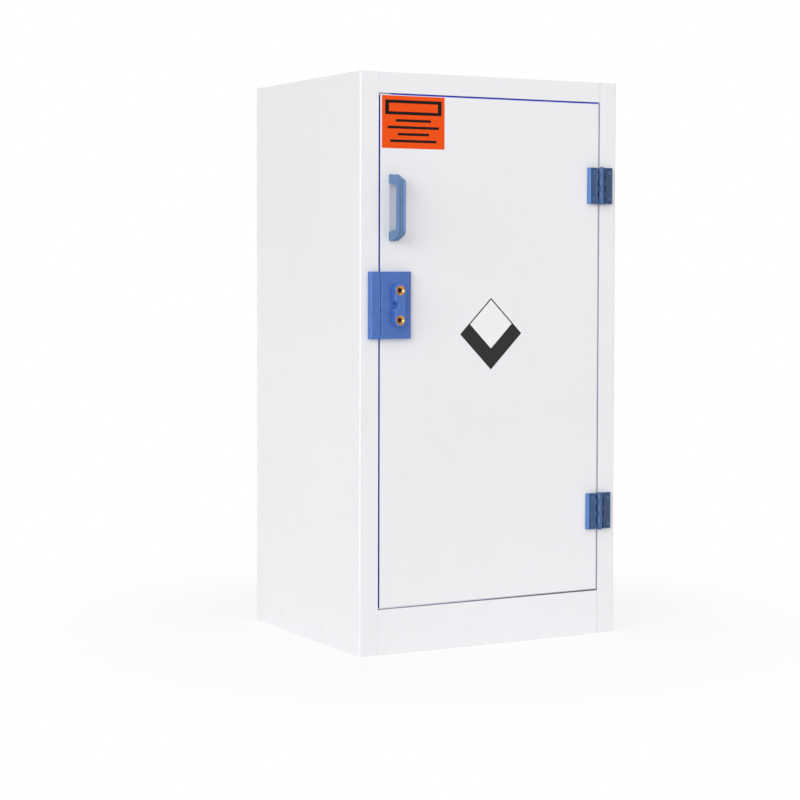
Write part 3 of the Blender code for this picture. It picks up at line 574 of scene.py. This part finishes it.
def make_handle(shape):
    """A bow with a shallow channel along its outer face."""
    low, high = HANDLE
    bm = pushed_outline(bow_outline(shape), "X", low.x, high.x)
    bm.normal_update()
    middle = (high.z + low.z) / 2
    inner = low.y + shape.bar
    window = (high.z - low.z) / 2 - shape.arm

    def on_outside(face):
        spot = face.calc_center_median()
        if abs(face.normal.x) > 0.5 or spot.y > high.y - 1e-4:
            return False
        if abs(spot.z - middle) > window + shape.arm / 2:
            return True
        return spot.y < (low.y + inner) / 2

    outer = [face for face in bm.faces if on_outside(face)]
    bmesh.ops.inset_region(bm, faces=outer, thickness=shape.rim, depth=0, use_boundary=True, use_even_offset=True)
    bmesh.ops.inset_region(
        bm, faces=outer, thickness=shape.channel_slope, depth=-shape.channel, use_boundary=True,
        use_even_offset=True,
    )
    made = finished_piece("pull_handle_bow", bm, finish("handle"), "door", ("pull_handle",))
    soft_edges(made, shape.soft_edge, 3, 28)
    web = box_shape(
        (low.x + shape.rim / 2, DOOR_FACE - shape.web, middle - window - shape.rim),
        (high.x - shape.rim / 2, DOOR_FACE - STUCK_GAP, middle + window + shape.rim))
    made = finished_piece("pull_handle_web", web, finish("web"), "door")
    return soft_edges(made, shape.web / 4, 2)


# Hinges

def make_hinges(soft):
    for level in LEVELS:
        for half, body, kind in (("frame", "cabinet", "frame_leaf"), ("door", "door", "hinge")):
            node = level + "_hinge_" + half + "_leaf"
            made = finished_piece(
                level + "_" + half + "_leaf_moulding", merged_copy(node), finish(kind), body,
                (node,))
            soft_edges(made, soft, 2, 30)


# Lock

def make_lock_case(soft):
    for node, body in (("lock_keeper", "cabinet"), ("lock_housing", "door"), ("cylinder_block", "door")):
        made = finished_piece(
            node + "_moulding", merged_copy(node), finish("moulding"), body, (node,))
        soft_edges(made, soft, 2, 30)


def make_cylinders(shape):
    """Brass barrels with a turned dish, and key plugs with a slot."""
    for level in LEVELS:
        low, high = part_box(level + "_cylinder_barrel")
        x, z = (low.x + high.x) / 2, (low.z + high.z) / 2
        radius = (high.x - low.x) / 2
        front, rear = DOOR_FACE - low.y, DOOR_FACE - high.y
        plug_low, plug_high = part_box(level + "_key_plug")
        bore = (plug_high.x - plug_low.x) / 2 + shape.plug_play
        plug_front = DOOR_FACE - plug_low.y
        dish = plug_front + shape.plug_play
        profile = [(bore, rear), (radius, rear)]
        profile += arc_points((radius - shape.edge, front - shape.edge), shape.edge, 0, math.pi / 2, 4)
        profile += arc_points(
            (radius - shape.rim - shape.edge, front - shape.edge), shape.edge, math.pi / 2, math.pi, 4)
        profile += [
            (radius - shape.rim - 2 * shape.edge, front - 2 * shape.edge),
            (bore + (radius - bore) * 0.45, front - (front - dish) * 0.62),
            (bore + shape.edge, dish + shape.edge), (bore, dish), (bore, rear),
        ]
        bm = facing_out(spun(profile, BARREL_STEPS), x, z)
        finished_piece(
            level + "_brass_barrel", bm, finish("brass"), "door", (level + "_cylinder_barrel",), 50)

        plug_radius = (plug_high.x - plug_low.x) / 2
        plug_rear = DOOR_FACE - plug_high.y
        profile = [
            (0, plug_rear), (plug_radius, plug_rear), (plug_radius, plug_front - shape.edge),
            (plug_radius - shape.edge, plug_front), (0, plug_front),
        ]
        bm = facing_out(spun(profile, PLUG_STEPS), x, z)
        slot = box_shape(
            (x - shape.key_width / 2, DOOR_FACE - plug_front - 0.001, z - shape.key_height / 2),
            (x + shape.key_width / 2, DOOR_FACE - plug_front + shape.key_depth, z + shape.key_height / 2))
        finished_piece(
            level + "_slotted_plug", carved(bm, slot), finish("plug"), level + "_key",
            (level + "_key_plug",), 40)


# Screws

def make_screw(node, piece, body, shape):
    """A pan head with a cross recess, on the inside of the door or stile, and its shank."""
    low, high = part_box(node)
    x, z = (low.x + high.x) / 2, (low.z + high.z) / 2
    head = (high.x - low.x) / 2
    base, tip = DOOR_FACE - high.y, DOOR_FACE - low.y
    under = base + shape.head_height
    profile = [
        (0, base), (head * 0.55, base + 0.0001), (head * 0.86, base + shape.head_height * 0.25),
        (head, base + shape.head_height * 0.62), (head, under), (shape.shank, under), (shape.shank, tip), (0, tip),
    ]
    bm = facing_out(spun(profile, SCREW_STEPS), x, z)
    reach, thick = head * 0.55, head * 0.15
    deep = shape.head_height * 0.6
    for wide, tall in ((reach, thick), (thick, reach)):
        bm = carved(bm, box_shape(
            (x - wide, DOOR_FACE - base - deep, z - tall), (x + wide, DOOR_FACE - base + 0.001, z + tall)))
    finished_piece(piece, bm, finish("screw_steel"), body, (node,), 40)


def make_screws(shape):
    for index in (1, 2):
        make_screw("handle_screw_" + str(index), "handle_pan_screw_" + str(index), "door", shape)
        make_screw("keeper_screw_" + str(index), "keeper_pan_screw_" + str(index), "cabinet", shape)
    for index in (1, 2, 3, 4):
        make_screw("lock_screw_" + str(index), "lock_pan_screw_" + str(index), "door", shape)


# Welds

def weld_bead(name, start, end, first, second, body, shape):
    """A rippled fillet along a corner. First and second point away from it along the two sheets."""
    start, end = Vector(start), Vector(end)
    first, second = Vector(first), Vector(second)
    length = (end - start).length
    along = (end - start) / length
    steps = max(8, round(length / shape.step))
    bm = bmesh.new()
    ring = []
    for turn in range(shape.sides + 1):
        angle = math.pi / 2 * turn / shape.sides
        ring.append(bm.verts.new(start + (first * math.cos(angle) + second * math.sin(angle)) * shape.radius))
    corner = bm.verts.new(start)
    edges = [bm.edges.new(pair) for pair in zip(ring, ring[1:])]
    edges += [bm.edges.new((ring[-1], corner)), bm.edges.new((corner, ring[0]))]
    bmesh.ops.contextual_create(bm, geom=edges)
    front = edges
    for step in range(1, steps + 1):
        made = bmesh.ops.extrude_edge_only(bm, edges=front)["geom"]
        verts = [g for g in made if isinstance(g, bmesh.types.BMVert)]
        front = [g for g in made if isinstance(g, bmesh.types.BMEdge)]
        bmesh.ops.translate(bm, vec=along * (length / steps), verts=verts)
        centre = start + along * (length * step / steps)
        size = 1 + shape.ripple * math.sin(math.tau * step / shape.steps_each)
        size += shape.wander * noise.noise(centre * 70)
        for vert in verts:
            spoke = vert.co - centre
            if spoke.length > 1e-6:
                vert.co = centre + spoke.normalized() * shape.radius * size
    bmesh.ops.contextual_create(bm, geom=front)
    bmesh.ops.recalc_face_normals(bm, faces=bm.faces)
    return finished_piece(name, bm, finish("weld"), body, (), 60)


def make_box_welds(shape):
    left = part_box("left_side_panel")
    floor, top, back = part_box("floor_panel"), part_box("top_panel"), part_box("back_panel")
    near, far = floor[0].x, floor[1].x
    low, high = floor[1].z, top[0].z
    rear, front = back[0].y, floor[0].y
    right, forward, up = Vector((1, 0, 0)), Vector((0, -1, 0)), Vector((0, 0, 1))

    def bead(name, start, end, first, second):
        weld_bead("weld_" + name, start, end, first, second, "cabinet", shape)

    for name, level, rise in (("floor", low, up), ("top", high, -up)):
        bead(name + "_left", (near, front, level), (near, rear, level), right, rise)
        bead(name + "_right", (far, front, level), (far, rear, level), -right, rise)
        bead(name + "_back", (near, rear, level), (far, rear, level), forward, rise)
        bead(name + "_front", (near, front, level), (far, front, level), -forward, rise)
    bead("back_left", (near, rear, low), (near, rear, high), right, forward)
    bead("back_right", (far, rear, low), (far, rear, high), -right, forward)
    for side, away in (("left", right), ("right", -right)):
        for level in range(1, 5):
            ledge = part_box("shelf_ledge_" + side + "_" + str(level))
            x = near if side == "left" else far
            bead(
                side + "_ledge_" + str(level), (x, ledge[0].y, ledge[0].z), (x, ledge[1].y, ledge[0].z),
                away, -up)


def make_door_welds(shape):
    for side in ("left", "right"):
        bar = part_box("door_stiffener_" + side)
        back = DOOR[1].y
        for edge, x, away in (("near", bar[0].x, Vector((-1, 0, 0))), ("far", bar[1].x, Vector((1, 0, 0)))):
            weld_bead(
                "weld_" + side + "_stiffener_" + edge, (x, back, bar[0].z), (x, back, bar[1].z), away,
                Vector((0, 1, 0)), "door", shape)


# Stickers

def sticker_plate(name, finish_name, middle, size, tilt, thickness):
    """A thin vinyl sheet with rounded corners, stuck on the door's face."""
    half = Vector(size) / 2
    corners = [
        (across * half.x, up * half.y, STICKER_CORNER) for across, up in ((-1, -1), (1, -1), (1, 1), (-1, 1))
    ]
    outline = []
    for first, second in rounded_outline(corners, 5):
        spot = Vector((first, second))
        spot.rotate(Matrix.Rotation(tilt, 2))
        outline.append((spot.x + middle[0], spot.y + middle[1]))
    bm = pushed_outline(outline, "Y", DOOR_FACE - thickness, DOOR_FACE - STUCK_GAP)
    return finished_piece(name, bm, finish(finish_name), "door")


# Sizes and colours a user would change

def colour_property(name, description, default):
    return bpy.props.FloatVectorProperty(
        name=name, description=description, default=default, subtype="COLOR", size=4, min=0.0, max=1.0)


def length_property(name, description, default):
    return bpy.props.FloatProperty(name=name, description=description, default=default, min=0.0, **UNITS)


class CabinetFinishSettings(bpy.types.PropertyGroup):
    """Colours and gloss of the cabinet's finishes"""

    sheet: colour_property("Sheet", "White polypropylene sheet", (0.835, 0.835, 0.855, 1))
    sheet_roughness: bpy.props.FloatProperty(
        name="Sheet roughness", description="How dull the white sheet is", default=0.36, min=0.0, max=1.0,
        subtype="FACTOR")
    strip: colour_property("Strip", "Blue strips round the door", (0.0, 0.028, 0.8, 1))
    moulding: colour_property("Moulding", "Blue lock mouldings", (0.064, 0.142, 0.44, 1))
    hinge: colour_property("Hinge moulding", "Duller blue of the hinges' door leaves", (0.045, 0.108, 0.28, 1))
    # The frame leaves' darker, greyer blue is painted shade: a shaded copy of the hinge moulding.
    frame: colour_property("Frame leaf", "Greyer blue of the hinges' frame leaves", (0.045, 0.08, 0.18, 1))
    handle: colour_property("Handle", "Paler blue of the pull handle", (0.115, 0.2, 0.36, 1))
    web: colour_property("Handle web", "Grey of the web behind the handle", (0.55, 0.575, 0.66, 1))
    bolt: colour_property("Bolt", "Blue of the sliding bolts", (0.06, 0.13, 0.36, 1))
    brass: colour_property("Brass", "Turned brass of the lock barrels", (0.7, 0.38, 0.15, 1))
    steel: colour_property("Steel", "Screws and lock works", (0.62, 0.62, 0.63, 1))
    # The plugs' near-black face is painted shade for the recess they sit in.
    plug: colour_property("Plug", "Dark face of the key plugs", (0.09, 0.06, 0.035, 1))
    orange: colour_property("Orange vinyl", "Paper colour of the upper sticker", (0.85, 0.075, 0.0, 1))
    ink: colour_property("Ink", "Dark print on the stickers", (0.003, 0.003, 0.003, 1))
    paper: colour_property("White vinyl", "Paper colour of the diamond sticker", (0.86, 0.86, 0.87, 1))


class CabinetHandleSettings(bpy.types.PropertyGroup):
    """Sizes of the pull handle's bow"""

    bar: length_property("Bar depth", "Front to back of the bar", 0.012)
    arm: length_property("Arm height", "Height of an arm at the door", 0.017)
    shoulder: length_property("Shoulder", "How far the arms run straight out", 0.010)
    shoulder_round: length_property("Shoulder round", "Radius at the shoulders", 0.003)
    slope: length_property("Slope", "How far the shoulders drop towards the bar", 0.013)
    nose: length_property("Nose round", "Radius between slope and bar", 0.0115)
    window_drop: length_property("Window drop", "How far the finger window narrows towards the bar", 0.0053)
    window_round: length_property("Window round", "Radius in the window's corners", 0.005)
    rim: length_property("Rim", "Width of the rim beside the channel", 0.0009)
    channel: length_property("Channel depth", "Depth of the channel in the outer face", 0.0025)
    channel_slope: length_property("Channel slope", "Width of the channel's sloping sides", 0.0029)
    soft_edge: length_property("Soft edge", "Rounding of the edges", 0.0009)
    web: length_property("Web", "Thickness of the web between the arms, on the door", 0.0008)


class CabinetLockSettings(bpy.types.PropertyGroup):
    """Sizes of the lock's and hinges' fine shapes"""

    soft_edge: length_property("Soft edge", "Rounding of the mouldings' edges", 0.0004)
    edge: length_property("Barrel edge", "Rounding of the barrel's rim", 0.0003)
    rim: length_property("Barrel rim", "Width of the barrel's flat rim", 0.0005)
    plug_play: length_property("Plug play", "Gap round a key plug", 0.0003)
    key_width: length_property("Slot width", "Width of the key slot", 0.0024)
    key_height: length_property("Slot height", "Height of the key slot", 0.0062)
    key_depth: length_property("Slot depth", "Depth of the key slot", 0.007)


class CabinetScrewSettings(bpy.types.PropertyGroup):
    """Sizes of the pan head screws"""

    head_height: length_property("Head height", "Height of a pan head", 0.0024)
    shank: length_property("Shank radius", "Radius of the shank", 0.002)


class CabinetWeldSettings(bpy.types.PropertyGroup):
    """Sizes of the hot air weld beads"""

    radius: length_property("Radius", "Leg length of a bead", 0.0021)
    step: length_property("Step", "Distance between rings of a bead", 0.0016)
    steps_each: bpy.props.IntProperty(name="Rings per ripple", description="Rings in one ripple", default=4, min=2)
    sides: bpy.props.IntProperty(name="Sides", description="Faces round a bead", default=4, min=2)
    ripple: bpy.props.FloatProperty(name="Ripple", description="Share by which a ripple swells", default=0.07)
    wander: bpy.props.FloatProperty(name="Wander", description="Share by which a bead wanders", default=0.12)


class CabinetStickerSettings(bpy.types.PropertyGroup):
    """Sizes and places of the two blank stickers"""

    form_width: length_property("Form width", "Width of the orange sticker", 0.1384)
    form_height: length_property("Form height", "Height of the orange sticker", 0.1005)
    form_left: length_property("Form inset", "From the door sheet's left edge to the sticker", 0.0029)
    form_top: length_property("Form drop", "From the door sheet's top edge to the sticker", 0.0010)
    diamond_side: length_property("Diamond side", "Side of the diamond sticker", 0.100)
    diamond_right: length_property("Diamond inset", "From the door sheet's left edge to its middle", 0.2489)
    diamond_drop: length_property("Diamond drop", "From the door sheet's top edge to its middle", 0.4605)
    thickness: length_property("Thickness", "Thickness of the vinyl", 0.0002)


class CabinetStageSettings(bpy.types.PropertyGroup):
    """Floor, lamps and camera"""

    floor: colour_property("Floor", "Colour that the floor throws on the cabinet", (0.92, 0.92, 0.925, 1))
    surround: bpy.props.FloatProperty(
        name="Surround", description="Strength of the even light from all round", default=0.38, min=0.0)
    key: bpy.props.FloatProperty(
        name="Key lamp", description="Strength of the broad lamp on the left", default=2.12, min=0.0)
    front: bpy.props.FloatProperty(
        name="Front lamp", description="Strength of the broad lamp in front", default=0.68, min=0.0)
    top: bpy.props.FloatProperty(
        name="Top lamp", description="Power of the soft lamp over the floor", default=21.0, subtype="POWER",
        unit="POWER")
    camera_place: bpy.props.FloatVectorProperty(
        name="Camera", description="Where the camera stands", default=(-2.093, -3.578, 0.761), subtype="XYZ",
        unit="LENGTH")
    camera_turn: bpy.props.FloatProperty(
        name="Turn", description="The camera's turn to the right", default=math.radians(27.88), subtype="ANGLE")
    camera_tilt: bpy.props.FloatProperty(
        name="Tilt", description="The camera's tilt downwards", default=math.radians(2.17), subtype="ANGLE")
    camera_roll: bpy.props.FloatProperty(
        name="Roll", description="The camera's roll", default=math.radians(0.08), subtype="ANGLE")
    lens: bpy.props.FloatProperty(name="Lens", description="Focal length in millimetres", default=90.29)
    shift_x: bpy.props.FloatProperty(name="Shift across", description="Lens shift across", default=0.0596)
    shift_y: bpy.props.FloatProperty(name="Shift up", description="Lens shift up", default=-0.08)


# Stage

def floor_finish(colour):
    """A pale floor that keeps the cabinet's shadow near by, and looks white from there on."""
    material = bpy.data.materials.new("stage_floor")
    material.use_nodes = True
    f = Nodes(material.node_tree)
    f.tree.nodes.clear()
    plain = f.add("ShaderNodeBsdfDiffuse", {"Color": colour})
    shaded = f.add("ShaderNodeBsdfDiffuse", {"Color": WHITE})
    white = f.add("ShaderNodeEmission", {"Color": WHITE, "Strength": 1.0})
    spot = f.add("ShaderNodeTexCoord", output="Object")
    reach = f.add("ShaderNodeVectorMath", {0: spot}, output="Value", operation="LENGTH")
    away = f.add(
        "ShaderNodeMapRange",
        {"Value": reach, "From Min": FADE[0], "From Max": FADE[1], "To Min": NEAR_WHITE, "To Max": 1.0},
        interpolation_type="SMOOTHSTEP")
    bright = f.add("ShaderNodeMixShader", {0: away, 1: shaded, 2: white})
    mixed = f.add("ShaderNodeMixShader", {0: f.seen_by("Is Camera Ray", "Is Glossy Ray"), 1: plain, 2: bright})
    f.add("ShaderNodeOutputMaterial", {"Surface": mixed})
    return material


def make_floor(colour):
    bm = bmesh.new()
    bmesh.ops.create_grid(bm, x_segments=1, y_segments=1, size=FLOOR_HALF)
    mesh = bpy.data.meshes.new("stage_floor")
    bm.to_mesh(mesh)
    bm.free()
    floor = bpy.data.objects.new("stage_floor", mesh)
    floor.location = (0, 0, CAD_BOX[0].z - FLOOR_DROP)
    mesh.materials.append(floor_finish(colour))
    bpy.context.scene.collection.objects.link(floor)


def make_surround(strength):
    """Even light from all round, and plain white where it is seen."""
    world = bpy.data.worlds.new("studio")
    bpy.context.scene.world = world
    world.use_nodes = True
    f = Nodes(world.node_tree)
    f.tree.nodes.clear()
    soft = f.add("ShaderNodeBackground", {"Color": WHITE, "Strength": strength})
    white = f.add("ShaderNodeBackground", {"Color": WHITE, "Strength": 1.0})
    mixed = f.add("ShaderNodeMixShader", {0: f.seen_by("Is Camera Ray", "Is Transmission Ray"), 1: soft, 2: white})
    f.add("ShaderNodeOutputWorld", {"Surface": mixed})


def aimed(name, lamp, place, target):
    made = bpy.data.objects.new(name, lamp)
    made.location = place
    made.rotation_euler = (Vector(target) - Vector(place)).to_track_quat("-Z", "Y").to_euler()
    bpy.context.scene.collection.objects.link(made)


def broad_lamp(name, place, width, strength):
    """Parallel light from the direction of a place, as wide as an angle."""
    lamp = bpy.data.lights.new(name, "SUN")
    lamp.angle = math.radians(width)
    lamp.energy = strength
    aimed(name, lamp, place, (0, 0, 0))


def soft_lamp(name, place, target, size, power):
    lamp = bpy.data.lights.new(name, "AREA")
    lamp.shape = "RECTANGLE"
    lamp.size, lamp.size_y = size
    lamp.energy = power
    aimed(name, lamp, place, target)


def make_camera(stage):
    data = bpy.data.cameras.new("photo_camera")
    data.sensor_width = 36
    data.lens = stage.lens
    data.shift_x, data.shift_y = stage.shift_x, stage.shift_y
    data.dof.use_dof = False
    camera = bpy.data.objects.new("photo_camera", data)
    camera.location = stage.camera_place
    turn = Matrix.Rotation(-stage.camera_turn, 3, "Z") @ Matrix.Rotation(math.pi / 2 - stage.camera_tilt, 3, "X")
    camera.rotation_euler = (turn @ Matrix.Rotation(stage.camera_roll, 3, "Z")).to_euler()
    bpy.context.scene.collection.objects.link(camera)
    bpy.context.scene.camera = camera


# Operators

class CABINET_OT_finishes(bpy.types.Operator):
    """Make the finishes and put them on the sheets, strips, mouldings and metal"""

    bl_idname = "cabinet.finishes"
    bl_label = "Finishes"

    def execute(self, context):
        colours = context.scene.cabinet_finish
        kinds = {
            "white_sheet": sheet_finish("cabinet_sheet", tuple(colours.sheet), colours.sheet_roughness),
            "blue_strip": strip_finish("cabinet_strip", tuple(colours.strip), tuple(colours.sheet)),
            "blue_moulding": moulding_finish("cabinet_moulding", tuple(colours.moulding), 0.3),
            "pale_blue_moulding": moulding_finish("cabinet_handle", tuple(colours.handle), 0.33, 0.5, 0.00001),
            "bolt_plastic": moulding_finish("cabinet_bolt", tuple(colours.bolt), 0.35),
            "brass": metal_finish(
                "cabinet_brass", tuple(colours.brass), 0.2, (1.0, 12.0, 1.0), (0.5, 0.26, 0.08, 1)),
            "cap": moulding_finish("cabinet_cap", tinted(tuple(colours.frame), 0.3), 0.36),
            "steel": metal_finish(
                "cabinet_screw_steel", tuple(colours.steel), 0.28, (4.0, 1.0, 1.0), (0.32, 0.31, 0.3, 1)),
        }
        # The hinge leaves get strong painted shade in their hollows, painted shade on their sunk fields and a
        # painted highlight on their left flanks.
        moulding_finish("cabinet_hinge", tuple(colours.hinge), 0.36, 0.95, floor_of="upper_hinge_door_leaf")
        # Painted shade: the frame leaf is a darker, greyer copy of the hinge moulding.
        moulding_finish("cabinet_frame_leaf", tuple(colours.frame), 0.4, 0.95, floor_of="upper_hinge_frame_leaf")
        sheet_finish("cabinet_web", tuple(colours.web), 0.4)
        # Painted shade: the plug's dark colour stands in for the shade in the barrel's recess.
        metal_finish("cabinet_plug", tuple(colours.plug), 0.34, (5.0, 1.0, 1.0), (0.04, 0.035, 0.03, 1))
        sheet_finish("cabinet_weld", tinted(tuple(colours.sheet), -0.03), 0.28)
        slots = {part["node"]: part["material_slot"] for part in frame["record"]["subparts"]}
        for name, node in frame["nodes"].items():
            node.data.materials.clear()
            node.data.materials.append(kinds["cap" if "_hinge_" in name else slots[name]])
        return {"FINISHED"}


class CABINET_OT_handle(bpy.types.Operator):
    """Model the pull handle's bow"""

    bl_idname = "cabinet.handle"
    bl_label = "Pull handle"

    def execute(self, context):
        make_handle(context.scene.cabinet_handle)
        return {"FINISHED"}


class CABINET_OT_hinges(bpy.types.Operator):
    """Round the hinge mouldings' edges"""

    bl_idname = "cabinet.hinges"
    bl_label = "Hinges"

    def execute(self, context):
        make_hinges(context.scene.cabinet_lock.soft_edge)
        return {"FINISHED"}


class CABINET_OT_lock(bpy.types.Operator):
    """Round the lock case and turn the brass barrels and key plugs"""

    bl_idname = "cabinet.lock"
    bl_label = "Lock"

    def execute(self, context):
        make_lock_case(context.scene.cabinet_lock.soft_edge)
        make_cylinders(context.scene.cabinet_lock)
        return {"FINISHED"}


class CABINET_OT_screws(bpy.types.Operator):
    """Model the cross-recessed screws on the inside"""

    bl_idname = "cabinet.screws"
    bl_label = "Screws"

    def execute(self, context):
        make_screws(context.scene.cabinet_screw)
        return {"FINISHED"}


class CABINET_OT_welds(bpy.types.Operator):
    """Lay the hot air weld beads inside the box and on the door's stiffeners"""

    bl_idname = "cabinet.welds"
    bl_label = "Welds"

    def execute(self, context):
        make_box_welds(context.scene.cabinet_weld)
        make_door_welds(context.scene.cabinet_weld)
        return {"FINISHED"}


class CABINET_OT_stickers(bpy.types.Operator):
    """Put the two blank stickers on the door"""

    bl_idname = "cabinet.stickers"
    bl_label = "Stickers"

    def execute(self, context):
        s, colours = context.scene.cabinet_sticker, context.scene.cabinet_finish
        left, top = DOOR[0].x, DOOR[1].z
        size = (s.form_width, s.form_height)
        middle = (left + s.form_left + s.form_width / 2, top - s.form_top - s.form_height / 2)
        form_sticker_finish("cabinet_form_sticker", middle, size, tuple(colours.orange), tuple(colours.ink))
        sticker_plate("blank_form_sticker", "form_sticker", middle, size, 0, s.thickness)
        middle = (left + s.diamond_right, top - s.diamond_drop)
        diamond_sticker_finish(
            "cabinet_diamond_sticker", middle, s.diamond_side, tuple(colours.paper), tuple(colours.ink))
        size = (s.diamond_side, s.diamond_side)
        sticker_plate("blank_diamond_sticker", "diamond_sticker", middle, size, math.pi / 4, s.thickness)
        return {"FINISHED"}


class CABINET_OT_stage(bpy.types.Operator):
    """Set the floor, the lamps and the camera"""

    bl_idname = "cabinet.stage"
    bl_label = "Stage"

    def execute(self, context):
        stage = context.scene.cabinet_stage
        make_camera(stage)
        make_floor(tuple(stage.floor))
        make_surround(stage.surround)
        broad_lamp("key_lamp", KEY_FROM, KEY_WIDTH, stage.key)
        broad_lamp("front_lamp", FRONT_FROM, FRONT_WIDTH, stage.front)
        soft_lamp("top_lamp", TOP_FROM, TOP_AIM, TOP_SIZE, stage.top)
        context.scene.view_settings.view_transform = "Standard"
        return {"FINISHED"}


class CABINET_PT_panel(bpy.types.Panel):
    """Lists the steps that dress the cabinet"""

    bl_idname = "CABINET_PT_panel"
    bl_label = "Acid and Alkali Cabinet"
    bl_space_type = "VIEW_3D"
    bl_region_type = "UI"
    bl_category = "Cabinet"

    def draw(self, context):
        column = self.layout.column()
        for step in STEPS:
            column.operator(step.bl_idname)


STEPS = (
    CABINET_OT_finishes, CABINET_OT_handle, CABINET_OT_hinges, CABINET_OT_lock, CABINET_OT_screws,
    CABINET_OT_welds, CABINET_OT_stickers, CABINET_OT_stage,
)
SETTINGS = {
    "cabinet_finish": CabinetFinishSettings,
    "cabinet_handle": CabinetHandleSettings,
    "cabinet_lock": CabinetLockSettings,
    "cabinet_screw": CabinetScrewSettings,
    "cabinet_weld": CabinetWeldSettings,
    "cabinet_sticker": CabinetStickerSettings,
    "cabinet_stage": CabinetStageSettings,
}


def register():
    for made in (*SETTINGS.values(), *STEPS, CABINET_PT_panel):
        bpy.utils.register_class(made)
    for name, settings in SETTINGS.items():
        setattr(bpy.types.Scene, name, bpy.props.PointerProperty(type=settings))


def unregister():
    for name in SETTINGS:
        delattr(bpy.types.Scene, name)
    for made in reversed((*SETTINGS.values(), *STEPS, CABINET_PT_panel)):
        bpy.utils.unregister_class(made)


def main():
    register()
    bpy.ops.cabinet.finishes()
    bpy.ops.cabinet.handle()
    bpy.ops.cabinet.hinges()
    bpy.ops.cabinet.lock()
    bpy.ops.cabinet.screws()
    bpy.ops.cabinet.welds()
    bpy.ops.cabinet.stickers()
    bpy.ops.cabinet.stage()
    bpy.context.view_layer.update()


if __name__ == "__main__":
    main()
